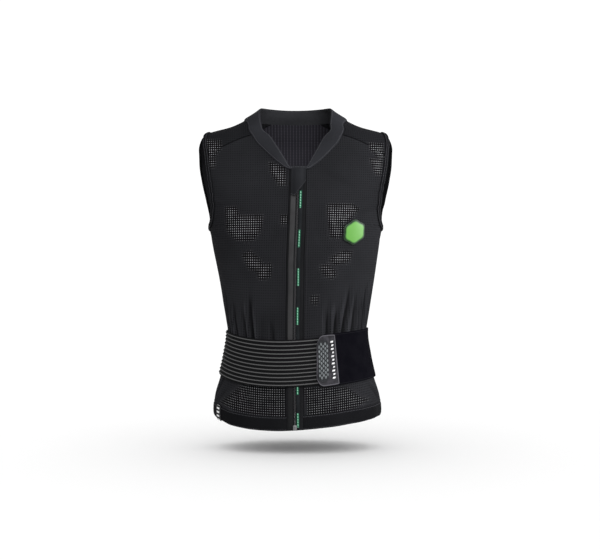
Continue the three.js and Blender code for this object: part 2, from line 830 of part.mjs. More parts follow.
function padPlace(pad, s, t) {
  const round = Math.max(padRoundAt(t), 0.3);
  return [pad.centre + s * round * pad.halfTurn, mix(pad.bottom, pad.top, t)];
}

function padSwell(pad, s, t) {
  const fromSide = clamp((1.08 - Math.abs(s)) / 0.26, 0, 1);
  const fromEnd = clamp((0.54 - Math.abs(t - 0.5)) / 0.12, 0, 1);
  return pad.thickness * Math.min(fromSide, fromEnd);
}

function foamPad(name, pad, grooveCount) {
  const steps = 2 * grooveCount;
  const grooved = (t) => (Math.round(t * steps) % 2 === 1 ? 1 - grooveShare : 1);
  return wall({
    name,
    finish: 'foam',
    columns: padColumns,
    rows: evenStops(steps),
    place: (s, t) => padPlace(pad, s, t),
    outer: padLift,
    inner: (s, t) => padLift - padSwell(pad, s, t) * grooved(t),
    on: onBody,
  });
}

function pads() {
  const chestPad = (side) => ({
    centre: side * chestPadTurn,
    halfTurn: chestPadHalfTurn,
    bottom: runAt(-chestPadBottomDrop),
    top: runAt(-chestPadTopDrop),
    thickness: chestPadThickness,
  });
  const group = new THREE.Group();
  group.add(
    foamPad('chest_pad_right', chestPad(-1), 2),
    foamPad('chest_pad_left', chestPad(1), 2),
    foamPad('back_pad', backPadSize, 6),
    backLining(),
  );
  return group;
}

// The lining is sewn to the back panel all round the pad.
function backLining() {
  const beyondSide = [1.08, 1.2];
  const outerLift = (s, t) => padLift - layerGap - padSwell(backPadSize, s, t);
  return wall({
    name: 'back_lining',
    finish: 'knit',
    columns: [...beyondSide.map((s) => -s).reverse(), ...padColumns, ...beyondSide],
    rows: [-0.04, ...evenStops(12), 1.04, 1.08],
    place: (s, t) => padPlace(backPadSize, s, t),
    outer: outerLift,
    inner: (s, t) => outerLift(s, t) - liningCloth,
    on: onBody,
  });
}

// A badge with six round-cornered sides, laid on the wearer's left chest: a base and a raised face.
function badgeLayer(name, finish, scale, bottom, thickness) {
  const centreRun = runAt(-badgeDrop);
  const corner = (angle, share) => {
    const reach = share * scale * (1 + 0.05 * Math.cos(6 * angle));
    const x = (badgeWidth / 2) * reach * Math.cos(angle);
    const y = (badgeHeight / 2) * reach * Math.sin(angle);
    return [
      badgeAcross + x * Math.cos(badgeTilt) + y * Math.sin(badgeTilt),
      centreRun - x * Math.sin(badgeTilt) + y * Math.cos(badgeTilt),
    ];
  };
  const around = 12;
  const points = [];
  for (const lift of [bottom + thickness, bottom]) {
    const [across, run] = corner(0, 0);
    points.push(onBody(turnAcross(across, run), run, lift));
    for (let i = 0; i < around; i += 1) {
      const [edgeAcross, edgeRun] = corner((i / around) * 2 * Math.PI, 1);
      points.push(onBody(turnAcross(edgeAcross, edgeRun), edgeRun, lift));
    }
  }
  const under = around + 1;
  const triangles = [];
  for (let i = 0; i < around; i += 1) {
    const a = 1 + i;
    const b = 1 + ((i + 1) % around);
    triangles.push(0, a, b, under, under + b, under + a);
    triangles.push(a, under + a, under + b, a, under + b, b);
  }
  return closedMesh(name, finish, points, triangles);
}

function sideLabel() {
  const lift = hemCloth - cloth + layerGap;
  const halfTurn = labelWidth / 2 / frontAt(0);
  return wall({
    name: 'side_label',
    finish: 'white',
    columns: [-1, 0, 1],
    rows: [0, 0.5, 1],
    place: (s, t) => [labelTurn + s * halfTurn, t * labelHeight],
    outer: lift + labelThickness,
    inner: lift,
    on: onBody,
  });
}

function shell() {
  const group = new THREE.Group();
  group.add(
    frontPanel('front_panel_right', -1),
    frontPanel('front_panel_left', 1),
    backPanel(),
    yoke('yoke_right', -1),
    yoke('yoke_left', 1),
    armholeBinding('armhole_binding_right', -1),
    armholeBinding('armhole_binding_left', 1),
    collar(),
    hemBand(),
  );
  return group;
}

function trimmings() {
  const badgeBottom = 2 * layerGap;
  const group = new THREE.Group();
  group.add(
    badgeLayer('badge_base', 'rubber', 1, badgeBottom, badgeThickness),
    badgeLayer('badge_face', 'green', 0.86, badgeBottom + badgeThickness + seamGap, badgeThickness / 2),
    sideLabel(),
  );
  return group;
}

const vest = new THREE.Group();
vest.name = 'protector_vest';
vest.add(shell(), frontClosure(), belt(), pads(), trimmings());

export default vest;
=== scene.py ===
import json
import math

import bmesh
import bpy
import mathutils
import numpy as np
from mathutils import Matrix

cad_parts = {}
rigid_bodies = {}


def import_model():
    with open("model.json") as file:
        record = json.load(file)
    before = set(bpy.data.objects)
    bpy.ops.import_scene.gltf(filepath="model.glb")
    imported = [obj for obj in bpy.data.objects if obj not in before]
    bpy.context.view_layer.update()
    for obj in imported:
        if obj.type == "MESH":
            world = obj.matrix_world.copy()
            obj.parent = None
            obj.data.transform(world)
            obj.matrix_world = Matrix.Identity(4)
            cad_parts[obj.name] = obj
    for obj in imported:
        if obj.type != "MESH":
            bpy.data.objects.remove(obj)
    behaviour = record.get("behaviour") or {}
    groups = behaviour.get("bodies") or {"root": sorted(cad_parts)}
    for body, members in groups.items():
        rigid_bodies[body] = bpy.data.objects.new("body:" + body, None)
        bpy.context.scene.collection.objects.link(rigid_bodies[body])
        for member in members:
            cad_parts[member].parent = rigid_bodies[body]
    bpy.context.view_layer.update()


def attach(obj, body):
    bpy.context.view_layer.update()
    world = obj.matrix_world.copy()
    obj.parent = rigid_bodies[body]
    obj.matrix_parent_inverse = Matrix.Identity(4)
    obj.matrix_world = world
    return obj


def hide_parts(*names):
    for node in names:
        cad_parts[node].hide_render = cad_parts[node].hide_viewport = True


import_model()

# The knit shell: two front panels, a back panel and two shoulder yokes of black perforated knit.
# They are cut flat, sewn together and stretched over a body, and every other piece lies on that same
# body. A place on it is its turn round from the centre front and its run up the side from the hem, in mm.

BODY_LENGTH = 600.0
CHEST_HALF_WIDTH = 177.0
CHEST_HALF_DEPTH = 118.0
BODY_SQUARENESS = 2.25
FRONT_SAG = 26.0
BACK_SAG_SHARE = 0.4
NECK_DROP = 108.0
COLLAR_HEIGHT = 25.0
CLOTH = 1.6
SEAM_GAP = 0.8

# Sections from the hem up: drop and rise of the level, then half width, front depth, back depth and sag.
SECTIONS = np.array([
    (1, 0, 0.97, 0.907, 0.958, 0.8),
    (0.933, 0, 0.946, 0.898, 0.915, 0.8),
    (0.867, 0, 0.884, 0.873, 0.822, 0.79),
    (0.793, 0, 0.829, 0.839, 0.754, 0.73),
    (0.717, 0, 0.794, 0.822, 0.729, 0.62),
    (0.67, 0, 0.816, 0.831, 0.729, 0.5),
    (0.608, 0, 0.853, 0.856, 0.754, 0.35),
    (0.527, 0, 0.898, 0.898, 0.814, 0.15),
    (0.443, 0, 0.949, 0.958, 0.898, 0.03),
    (0.358, 0, 1, 1.008, 0.975, 0),
    (0.262, 0, 1.115, 0.983, 1, 0),
    (0.2, 0, 1.172, 0.924, 0.975, 0),
    (0.142, 0, 1.2, 0.831, 0.924, 0),
    (0.092, 0, 1.19, 0.72, 0.856, 0),
    (0.057, 0, 1.125, 0.602, 0.788, 0),
    (0.041, 0, 1.01, 0.542, 0.754, 0),
    (0.02, 0, 0.755, 0.492, 0.712, 0),
    (0, 0.16, 0.565, 0.432, 0.653, 0),
    (0, 0.64, 0.455, 0.381, 0.585, 0),
    (0, 1.16, 0.372, 0.339, 0.525, 0),
])


def smooth_curve(keys, values):
    """A smooth curve through the points that doesn't overshoot, straight past its ends."""
    keys, values = np.array(keys, float), np.array(values, float)
    slopes = np.diff(values) / np.diff(keys)
    before, after = slopes[:-1], slopes[1:]
    same_way = before * after > 0
    total = np.where(same_way, before + after, 1.0)
    inner = np.where(same_way, 2 * before * after / total, 0.0)
    tangents = np.concatenate([slopes[:1], inner, slopes[-1:]])

    def at(key):
        key = np.asarray(key, float)
        i = np.clip(np.searchsorted(keys, key) - 1, 0, len(keys) - 2)
        span = keys[i + 1] - keys[i]
        t = np.clip((key - keys[i]) / span, 0, 1)
        ease = t * t * (3 - 2 * t)
        value = values[i] + (values[i + 1] - values[i]) * ease
        value += tangents[i] * t * (1 - t) ** 2 * span + tangents[i + 1] * t * t * (t - 1) * span
        under, over = np.minimum(key - keys[0], 0), np.maximum(key - keys[-1], 0)
        return value + tangents[0] * under + tangents[-1] * over

    return at


def bump(value, middle, width):
    return np.exp(-(((value - middle) / width) ** 2))


def smoothstep(value, low, high):
    share = np.clip((value - low) / (high - low), 0, 1)
    return share * share * (3 - 2 * share)


section_levels = SECTIONS[:, 1] * COLLAR_HEIGHT - SECTIONS[:, 0] * BODY_LENGTH
section_widths = SECTIONS[:, 2] * CHEST_HALF_WIDTH
section_steps = np.hypot(np.diff(section_widths), np.diff(section_levels))
section_runs = np.concatenate([[0], np.cumsum(section_steps)])
level_at = smooth_curve(section_runs, section_levels)
width_at = smooth_curve(section_runs, section_widths)
front_at = smooth_curve(section_runs, SECTIONS[:, 3] * CHEST_HALF_DEPTH)
back_at = smooth_curve(section_runs, SECTIONS[:, 4] * CHEST_HALF_DEPTH)
sag_at = smooth_curve(section_runs, SECTIONS[:, 5] * FRONT_SAG)


def run_at(level):
    low, high = np.full(np.shape(level), -600.0), np.full(np.shape(level), 1200.0)
    for _ in range(50):
        middle = (low + high) / 2
        short = level_at(middle) < level
        low, high = np.where(short, middle, low), np.where(short, high, middle)
    return (low + high) / 2


def roundness(turn, squareness):
    power = np.abs(np.sin(turn)) ** squareness + np.abs(np.cos(turn)) ** squareness
    return power ** (1 / squareness)


def turn_across(across, run):
    """The turn that lies a distance across from the centre front, as seen from the front."""
    share = np.clip(across / width_at(run), -0.999, 0.999)
    rest = (1 - np.abs(share) ** BODY_SQUARENESS) ** (1 / BODY_SQUARENESS)
    return np.arctan2(share, rest)


BELT_LEVEL, RIBBED_HEIGHT = -471, 90.0
belt_run = float(run_at(BELT_LEVEL))
collar_run = float(run_at(section_levels[-3]))
zip_top_run = float(run_at(-NECK_DROP))
belt_top = float(level_at(belt_run + RIBBED_HEIGHT / 2))
belt_foot = float(level_at(belt_run - RIBBED_HEIGHT / 2))

# Creases above the belt: turn and half width in degrees, level of the top and depth in mm.
CREASES = [
    (-67.6, 5, -345, 3.4), (-60.5, 3.6, -372, 1.6), (-54.3, 4.2, -368, 3.4), (-44, 5, -374, 2.2),
    (-35.6, 4.2, -338, 4.2), (-27, 4.5, -384, 1.1), (-18.7, 3.4, -402, 1.8), (25.4, 4, -360, 2.6),
    (33.6, 3.8, -372, 3.2), (41, 4.2, -322, 3.8), (49.5, 4.4, -330, 2.6), (56.5, 3.6, -352, 1.6),
    (63, 4.4, -318, 3.4), (71, 3.8, -340, 1.8), (78, 5, -335, 2.6), (-78, 5, -352, 2.4),
    (96, 5.5, -350, 2.6), (107, 5, -365, 3), (119, 6, -352, 2.2), (134, 6, -385, 1.4),
    (226, 6, -385, 1.4), (241, 6, -352, 2.2), (253, 5, -362, 3), (264, 5.5, -350, 2.6),
]

# Pulls in the knit: turn in degrees, level, half length, half width and depth in mm, slope in degrees.
PULLS = [
    (-58, -132, 26, 3.4, 0.9, 6), (-60, -143, 22, 3.2, 0.8, 2), (-57, -153, 24, 3.6, 0.7, -4),
    (-52, -176, 34, 6, 0.9, -14), (-66, -232, 30, 5, 1.1, -24), (-74, -252, 34, 6, 1.2, -34),
    (60, -136, 26, 3.6, 0.8, -8), (58, -150, 26, 3.4, 0.8, -2), (52, -184, 36, 6, 0.9, 16),
    (67, -236, 32, 5, 1.2, 26), (75, -258, 36, 6, 1.2, 36), (-24, -118, 26, 5, 0.7, 40),
    (22, -126, 28, 5, 0.8, -42), (-12, -205, 40, 7, 0.6, 74), (14, -224, 44, 8, 0.6, -78),
    (118, -225, 40, 6, 1.2, -30), (242, -225, 40, 6, 1.2, 30), (128, -190, 44, 8, 0.9, -18),
    (232, -190, 44, 8, 0.9, 18), (-72, -536, 26, 3, 2.2, 58), (-62, -545, 30, 4, 1.3, 50),
    (68, -545, 34, 5, 1.4, -40), (40, -540, 24, 4, 0.9, -64), (-38, -540, 24, 4, 0.9, 66),
    (150, -300, 60, 9, 0.8, 12), (208, -312, 60, 9, 0.8, -10), (172, -90, 40, 7, 0.8, 4),
]


def cloth_inset(turn, run):
    """How far the worn cloth lies in from the smooth body: creases, pulls and slow waves."""
    level = level_at(run)
    inset = 0.32 * np.sin(3 * turn + run / 61) + 0.24 * np.sin(5 * turn - run / 37 + 1.7)
    inset = inset + 0.16 * np.sin(10 * turn + run / 21 + 0.6)
    free_hem = smoothstep(belt_foot - level, 0, 70)
    inset = inset + free_hem * (0.9 * np.sin(11 * turn + 0.8) + 0.6 * np.sin(19 * turn + 2.0))
    inset = inset - 1.8 * over_back_plate(turn, level)
    inset = inset + 4.5 * np.exp(-np.maximum(run, 0) / 7) * smoothstep(np.abs(np.sin(turn)), 0.45, 0.9)
    for at, spread, top, depth in CREASES:
        sway = math.radians(0.9) * np.sin(run / 23 + at)
        away = np.abs(turn - math.radians(at) - sway) / math.radians(spread)
        valley = bump(away, 0, 0.4) - 0.34 * bump(away, 0.95, 0.36)
        above = smoothstep(top + 22 - level, 0, 0.75 * (top + 22 - belt_top))
        below = 1 - smoothstep(belt_top - level, 0, 40)
        inset = inset + 1.6 * depth * valley * above * below
    for at, height, length, width, depth, slope in PULLS:
        across, up = (turn - math.radians(at)) * 135, level - height
        tilt = math.radians(slope)
        along = across * math.cos(tilt) + up * math.sin(tilt)
        beside = up * math.cos(tilt) - across * math.sin(tilt)
        valley = bump(beside, 0, width) - 0.5 * bump(beside, 1.7 * width, width)
        inset = inset + 1.7 * depth * valley * bump(along, 0, length)
    return inset


def over_back_plate(turn, level):
    """1 over the back plate, 0 beside it, soft at its edge."""
    half_turn = 0.70 - 0.10 * smoothstep(level, -250, -80) - 0.08 * smoothstep(-level, 420, 560)
    beside = smoothstep(half_turn - np.abs(np.mod(turn, 2 * math.pi) - math.pi), -0.02, 0.09)
    return beside * smoothstep(level, -566, -548) * smoothstep(-level, 48, 70)


# How far the zip leans to the wearer's left, by the share of its height.
zip_lean_at = smooth_curve([0, 0.15, 0.4, 0.6, 0.75, 1.0], [-3.9, -4.8, -5.0, -2.7, 1.9, 5.6])


def body_surface(turn, run, inset):
    lean = zip_lean_at(np.clip(run / zip_top_run, 0, 1)) * (1 - smoothstep(run, zip_top_run, collar_run))
    angle = turn + lean / width_at(run) * np.cos(turn / 2) ** 4
    reach = roundness(angle, BODY_SQUARENESS)
    in_front = np.cos(angle) > 0
    depth = np.where(in_front, front_at(run), back_at(run))
    x, y = width_at(run) * np.sin(angle) / reach, -depth * np.cos(angle) / reach
    share = 1 - inset / np.hypot(x, y)
    hip_sway = 3.0 * smoothstep(-level_at(run), 230, 340)
    off_centre = 0.26 * np.cos(angle)
    sag = np.where(in_front, 1.0, BACK_SAG_SHARE) * sag_at(run) * np.cos(angle + off_centre) ** 2
    return np.stack([x * share + hip_sway, y * share, level_at(run) - sag], axis=-1)


def lifted(turn, run, lift, inset_at):
    def at(turn_step, run_step):
        return body_surface(turn + turn_step, run + run_step, inset_at(turn + turn_step, run + run_step))

    turn_step = 0.5 / CHEST_HALF_DEPTH
    normal = np.cross(at(turn_step, 0) - at(-turn_step, 0), at(0, 0.5) - at(0, -0.5))
    normal /= np.linalg.norm(normal, axis=-1, keepdims=True)
    return at(0, 0) + normal * np.broadcast_to(lift, np.shape(turn))[..., None]


def on_body(turn, run, lift):
    return lifted(turn, run, lift, lambda a, b: 0 * a)


def on_cloth(turn, run, lift):
    return lifted(turn, run, lift, cloth_inset)


def round_from_front(turn, run):
    """The distance round the smooth body from the centre front, in mm."""
    steps = [body_surface(turn * i / 32, run, 0) for i in range(33)]
    return np.sign(turn) * sum(np.linalg.norm(b - a, axis=-1) for a, b in zip(steps, steps[1:]))


def crowded(share):
    """Stops that lie closer together at both ends, where the sewn edges are."""
    return share - 0.8 * np.sin(2 * np.pi * share) / (2 * np.pi)


def even(share):
    return share


EVEN = (even, even)


def raise_copy(grid, height):
    """Extrudes every face, keeps the old ones and moves the new ones up."""
    copy = bmesh.ops.extrude_face_region(grid, geom=grid.faces[:], use_keep_orig=True)["geom"]
    corners = [part for part in copy if isinstance(part, bmesh.types.BMVert)]
    bmesh.ops.translate(grid, verts=corners, vec=(0, 0, height))


def points_of(mesh):
    points = np.zeros(len(mesh.vertices) * 3)
    mesh.vertices.foreach_get("co", points)
    return points.reshape(-1, 3)


def linked(name, data):
    made = bpy.data.objects.new(name, data)
    bpy.context.collection.objects.link(made)
    return made


def lay(name, columns, rows, place, outer, inner, on=on_cloth, stops=(crowded, crowded),
        ring=False, pole=False, sides=False, knitted=False, rim=0.4):
    """A closed wall over a grid that place(s, t) lays on the body, between two lifts off it.

    The UV map is the distance along and across the cloth in metres, or for knitted cloth the distance
    round the body and up it, so that its rows lie level. The attribute edge is the distance
    in mm to the nearest long edge, or with sides to any edge, rise is t, and crease is how far the
    cloth lies in. A ring meets itself, and a pole closes t = 0."""
    grid = bmesh.new()
    bmesh.ops.create_grid(grid, x_segments=columns, y_segments=rows, size=0.5)
    raise_copy(grid, -1)
    bmesh.ops.recalc_face_normals(grid, faces=grid.faces[:])
    ends = [f for f in grid.faces if ring and abs(f.normal.x) > 0.5 or pole and f.normal.y < -0.5]
    bmesh.ops.delete(grid, geom=ends, context="FACES_ONLY")
    mesh = bpy.data.meshes.new(name)
    grid.to_mesh(mesh)
    grid.free()

    s, t = np.meshgrid(stops[0](np.linspace(0, 1, columns + 1)), stops[1](np.linspace(0, 1, rows + 1)))
    turn, run = np.broadcast_arrays(*place(s, t))
    top = on(turn, run, outer(s, t) if callable(outer) else outer)
    bottom = on(turn, run, inner(s, t) if callable(inner) else inner)
    smooth = on_body(turn, run, 0)
    along, across = np.zeros_like(s), np.zeros_like(s)
    along[:, 1:] = np.cumsum(np.linalg.norm(np.diff(smooth, axis=1), axis=-1), axis=1)
    across[1:] = np.cumsum(np.linalg.norm(np.diff(smooth, axis=0), axis=-1), axis=0)
    edge = np.minimum(across, across[-1:] - across)
    if sides:
        edge = np.minimum(edge, np.minimum(along, along[:, -1:] - along))
    crease = cloth_inset(turn, run) if on is on_cloth else 0 * turn
    u, v = (round_from_front(turn, run), run) if knitted else (along, across)

    spots = points_of(mesh)
    i = np.rint((spots[:, 0] + 0.5) * columns).astype(int)
    j = np.rint((spots[:, 1] + 0.5) * rows).astype(int)
    is_top = (spots[:, 2] > -0.5)[:, None]
    mesh.vertices.foreach_set("co", (np.where(is_top, top[j, i], bottom[j, i]) / 1000).ravel())
    for key, values in (("edge", edge), ("rise", t), ("crease", crease)):
        mesh.attributes.new(key, "FLOAT", "POINT").data.foreach_set("value", values[j, i])
    corners = np.zeros(len(mesh.loops), int)
    mesh.loops.foreach_get("vertex_index", corners)
    flat = np.stack([u[j, i] / 1000, v[j, i] / 1000], axis=-1)[corners]
    mesh.uv_layers.new(name="cloth").data.foreach_set("uv", flat.ravel())
    mesh.shade_smooth()
    for face in mesh.polygons:
        face.material_index = int(not any(is_top[v, 0] for v in face.vertices))

    j, i = rows // 2, columns // 3
    step_s = [field[j, i + 1] - field[j, i] for field in (turn, run)]
    step_t = [field[j + 1, i] - field[j, i] for field in (turn, run)]
    if step_s[0] * step_t[1] < step_s[1] * step_t[0]:
        mesh.flip_normals()
    if ring:
        joined = bmesh.new()
        joined.from_mesh(mesh)
        bmesh.ops.remove_doubles(joined, verts=joined.verts[:], dist=0.00002)
        joined.to_mesh(mesh)
        joined.free()
    piece = linked(name, mesh)
    if rim:
        rounded = piece.modifiers.new("rim", "BEVEL")
        rounded.width, rounded.segments = rim / 1000, 2
        rounded.limit_method, rounded.angle_limit = "ANGLE", math.radians(50)
    return piece


def stand_for(piece, mat, slot, *nodes, second=None):
    """The second finish is for the inner face of a wall, or for the studs of the grip."""
    piece.data.materials.append(mat)
    piece.data.materials.append(second or mat)
    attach(piece, "root")
    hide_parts(*nodes)


def finish(name, colour, roughness, specular=0.5, metallic=0.0):
    mat = bpy.data.materials.new(name)
    mat.use_nodes = True
    surface = mat.node_tree.nodes["Principled BSDF"].inputs
    surface["Base Color"].default_value = (*colour, 1)
    surface["Roughness"].default_value = roughness
    surface["Specular IOR Level"].default_value = specular
    surface["Metallic"].default_value = metallic
    return mat


def add(mat, kind, inputs, **settings):
    """Adds a node, sets or links its inputs, and gives its first output."""
    made = mat.node_tree.nodes.new("ShaderNode" + kind)
    for key, value in settings.items():
        setattr(made, key, value)
    for key, value in inputs.items():
        if isinstance(value, bpy.types.NodeSocket):
            mat.node_tree.links.new(value, made.inputs[key])
        else:
            made.inputs[key].default_value = value
    return made.outputs[0]


def calc(mat, operation, *values):
    return add(mat, "Math", dict(enumerate(values)), operation=operation)


def times(mat, first, second):
    return calc(mat, "MULTIPLY", first, second)


def plus(mat, first, second):
    return calc(mat, "ADD", first, second)


def apart(mat, value, middle):
    """How far a value is from a middle one, either way."""
    return calc(mat, "ABSOLUTE", calc(mat, "SUBTRACT", value, middle))


def feed(mat, socket, value):
    mat.node_tree.links.new(value, mat.node_tree.nodes["Principled BSDF"].inputs[socket])


def paint(mat, colour):
    feed(mat, "Base Color", colour)


def attribute(mat, name):
    made = mat.node_tree.nodes.new("ShaderNodeAttribute")
    made.attribute_name = name
    return made.outputs["Fac"]


def ramp(mat, value, low, high):
    """0 at low and 1 at high, smooth between."""
    inputs = {"Value": value, "From Min": low, "From Max": high}
    return add(mat, "MapRange", inputs, interpolation_type="SMOOTHSTEP")


def blend(mat, share, first, second):
    """One colour or another by a share, each a colour or a socket."""
    made = mat.node_tree.nodes.new("ShaderNodeMix")
    made.data_type = "RGBA"
    for key, value in (("Factor", share), ("A", first), ("B", second)):
        socket = next(s for s in made.inputs if s.name == key and (key == "Factor" or s.type == "RGBA"))
        if isinstance(value, bpy.types.NodeSocket):
            mat.node_tree.links.new(value, socket)
        else:
            socket.default_value = value if key == "Factor" else (*value, 1)
    return next(s for s in made.outputs if s.type == "RGBA")


def cloth_map(mat):
    return add(mat, "UVMap", {}, uv_map="cloth")


def relief(mat, height, depth, strength=1.0):
    inputs = {"Height": height, "Distance": depth / 1000, "Strength": strength}
    feed(mat, "Normal", add(mat, "Bump", inputs))


def cloth_part(mat, index):
    separate = mat.node_tree.nodes.new("ShaderNodeSeparateXYZ")
    mat.node_tree.links.new(cloth_map(mat), separate.inputs[0])
    return separate.outputs[index]


def stripes(mat, position, pitch):
    """A soft wave from -1 to 1 along a position in metres, once every pitch in mm."""
    return calc(mat, "SINE", times(mat, position, 2000 * math.pi / pitch))


def grain(mat, scale, detail=3.0):
    where = add(mat, "TexCoord", {}).node.outputs["Object"]
    return add(mat, "TexNoise", {"Vector": where, "Scale": scale, "Detail": detail})


def mottle(mat, scale, low=0.3, high=0.7):
    return ramp(mat, grain(mat, scale), low, high)


def hole_lattice(mat, pitch_along, pitch_across, radius):
    """1 inside round holes on a lattice, 0 between them."""
    scaled = add(mat, "VectorMath", {0: cloth_map(mat),
                 1: (1000 / pitch_along, 1000 / pitch_across, 0)}, operation="MULTIPLY")
    cell = add(mat, "VectorMath", {0: scaled}, operation="FRACTION")
    centred = add(mat, "VectorMath", {0: cell, 1: (0.5, 0.5, 0)}, operation="SUBTRACT")
    sized = add(mat, "VectorMath", {0: centred, 1: (pitch_along, pitch_across, 0)}, operation="MULTIPLY")
    length = add(mat, "VectorMath", {0: sized}, operation="LENGTH").node.outputs["Value"]
    return ramp(mat, length, radius * 1.25, radius * 0.8)


def perforated_knit(name, yarn, black_shaded_hole, pale):
    mat = finish(name, yarn, 0.85, 0.02)
    holes = hole_lattice(mat, 4.6, 4.7, 0.95)
    yarn_colour = blend(mat, mottle(mat, 9.0), [0.86 * c for c in yarn], [1.14 * c for c in yarn])
    patchy = plus(mat, times(mat, mottle(mat, 70.0, 0.3, 0.6), 0.5), 0.5)
    shows = times(mat, attribute(mat, "pale"), patchy)
    # Holes where no pale backing shows are near-black: the black inside of the vest and painted shade in
    # the hollow behind the knit.
    hole_colour = blend(mat, shows, black_shaded_hole, pale)
    # Painted shade darkens the yarn in the creases, and a painted highlight lightens it on the ridges
    # beside them.
    shade = ramp(mat, attribute(mat, "crease"), 0.6, 4.0)
    yarn_colour = blend(mat, shade, yarn_colour, [0.42 * c for c in yarn])
    painted_ridge_highlight = ramp(mat, attribute(mat, "crease"), -0.7, -2.0)
    yarn_colour = blend(mat, painted_ridge_highlight, yarn_colour, [1.6 * c for c in yarn])
    beside_holes = ramp(mat, attribute(mat, "pale"), 0.0, 0.5)
    yarn_colour = blend(mat, beside_holes, yarn_colour, [0.2 * c for c in yarn])
    # Painted shade darkens the yarn within about 2 mm of each sewn edge, in the seam groove.
    painted_seam_shade = ramp(mat, attribute(mat, "edge"), 2.0, 0.6)
    yarn_colour = blend(mat, painted_seam_shade, yarn_colour, [0.25 * c for c in yarn])
    paint(mat, blend(mat, holes, yarn_colour, hole_colour))
    wales = stripes(mat, cloth_part(mat, 0), 1.1)
    courses = stripes(mat, cloth_part(mat, 1), 0.92)
    knit = times(mat, plus(mat, wales, courses), 0.12)
    rough = times(mat, grain(mat, 900.0, 2.0), 0.35)
    raised = plus(mat, plus(mat, knit, rough), times(mat, holes, -1.3))
    groove = times(mat, ramp(mat, attribute(mat, "edge"), 1.4, 0.0), -1.4)
    relief(mat, plus(mat, raised, groove), 0.5, 0.7)
    return mat


PALE_HOLE = (0.21, 0.21, 0.22)
# The third colour of each knit is that of its holes: the black inside of the vest and painted shade in the
# hollow behind them.
knit = perforated_knit("perforated_knit", (0.0105, 0.0107, 0.0121), (0.0025, 0.0025, 0.003), PALE_HOLE)
# The yokes take a darker copy of the knit, as painted shade on the shoulders, which face up.
shaded_yoke_knit = perforated_knit("shaded_yoke_knit", (0.0074, 0.0076, 0.0087), (0.002, 0.002, 0.0025), PALE_HOLE)

# Where the knit lies on its pale backing the holes show light. Each patch is an outline in x and z mm.
PALE_PATCHES = [
    [(-137, -182), (-117, -182), (-114, -198), (-64, -200), (-70, -226), (-84, -244), (-116, -243),
     (-134, -226)],
    [(-104, -274), (-86, -270), (-70, -286), (-70, -306), (-92, -300)],
    [(-78, -296), (-48, -294), (-50, -316), (-70, -322)],
    [(-27, -199), (-17, -199), (-17, -213), (-27, -213)],
    [(-50, -94), (-22, -104), (-20, -136), (-30, -138), (-48, -112)],
    [(64, -178), (112, -176), (125, -184), (98, -212), (88, -240), (70, -238), (66, -206)],
    [(68, -282), (92, -270), (110, -270), (106, -286), (78, -292)],
    [(49, -298), (64, -296), (80, -312), (72, -320), (56, -312)],
    [(32, -356), (44, -358), (42, -370), (33, -368)],
    [(-178, -44), (-150, -46), (-150, -62), (-166, -80), (-176, -78)],
    [(-172, -84), (-160, -84), (-162, -98), (-172, -98)],
    [(148, -52), (174, -52), (176, -80), (164, -78), (150, -62)],
    [(150, -84), (172, -82), (170, -112), (160, -112)],
    [(-99, -527), (-152, -570), (-123, -582), (-93, -588), (-20, -594), (-18, -536), (-60, -530)],
    [(16, -536), (101, -536), (133, -558), (149, -562), (117, -577), (74, -587), (26, -593)],
]


def mark_pale(piece):
    """Marks on the cloth where its holes show light."""
    x, y, z = points_of(piece.data).T * 1000
    pale = np.zeros_like(x)
    for patch in PALE_PATCHES:
        inside = np.zeros(len(x), bool)
        away = np.full(len(x), 1e9)
        for (x0, z0), (x1, z1) in zip(patch, patch[1:] + patch[:1]):
            crosses = (z0 > z) != (z1 > z)
            rise = z1 - z0 if z1 != z0 else 1e-9
            inside ^= crosses & (x < (x1 - x0) * (z - z0) / rise + x0)
            along = (x - x0) * (x1 - x0) + (z - z0) * (z1 - z0)
            share = np.clip(along / ((x1 - x0) ** 2 + (z1 - z0) ** 2), 0, 1)
            away = np.minimum(away, np.hypot(x - x0 - share * (x1 - x0), z - z0 - share * (z1 - z0)))
        strength = 0.55 if patch[0][1] < -500 else 1.0
        pale = np.maximum(pale, strength * smoothstep(np.where(inside, away, -away), -7, 7))
    pale *= y < 0
    piece.data.attributes.new("pale", "FLOAT", "POINT").data.foreach_set("value", pale)


# The neckline from the zip round to the centre back: the collar's seam and its free edge, each as
# turn in degrees, drop as a share of the neck drop and rise as a share of the collar height.
NECKLINE = np.array([
    (1, 1, 0, 1, 0.955, 0), (5.2, 0.986, 0, 4.1, 0.942, 0),
    (10.8, 0.857, 0, 7.1, 0.778, 0), (16.7, 0.667, 0, 10.3, 0.593, 0),
    (21.8, 0.49, 0, 13.4, 0.426, 0), (28, 0.278, 0, 19.8, 0.259, 0),
    (41, 0.13, 0, 29, 0.12, 0), (52, 0.06, 0, 40.8, 0, 0.08),
    (65, 0.018, 0, 56, 0, 0.56), (90, 0, 0.1, 84, 0, 1),
    (120, 0, 0.1, 120, 0, 1.18), (150, 0, 0.08, 150, 0, 1.22),
    (180, 0, 0.04, 180, 0, 1.22),
])
neck_rows = np.arange(len(NECKLINE))
seam_turn_at = smooth_curve(neck_rows, np.radians(NECKLINE[:, 0]))
seam_run_at = smooth_curve(neck_rows, run_at(NECKLINE[:, 2] * COLLAR_HEIGHT - NECKLINE[:, 1] * NECK_DROP))
edge_turn_at = smooth_curve(neck_rows, np.radians(NECKLINE[:, 3]))
edge_run_at = smooth_curve(neck_rows, run_at(NECKLINE[:, 5] * COLLAR_HEIGHT - NECKLINE[:, 4] * NECK_DROP))
CENTRE_BACK_ROW = len(NECKLINE) - 1
YOKE_FRONT_ROW, YOKE_BACK_ROW = 4.7, 11.0
COLLAR_LAP = 4.0

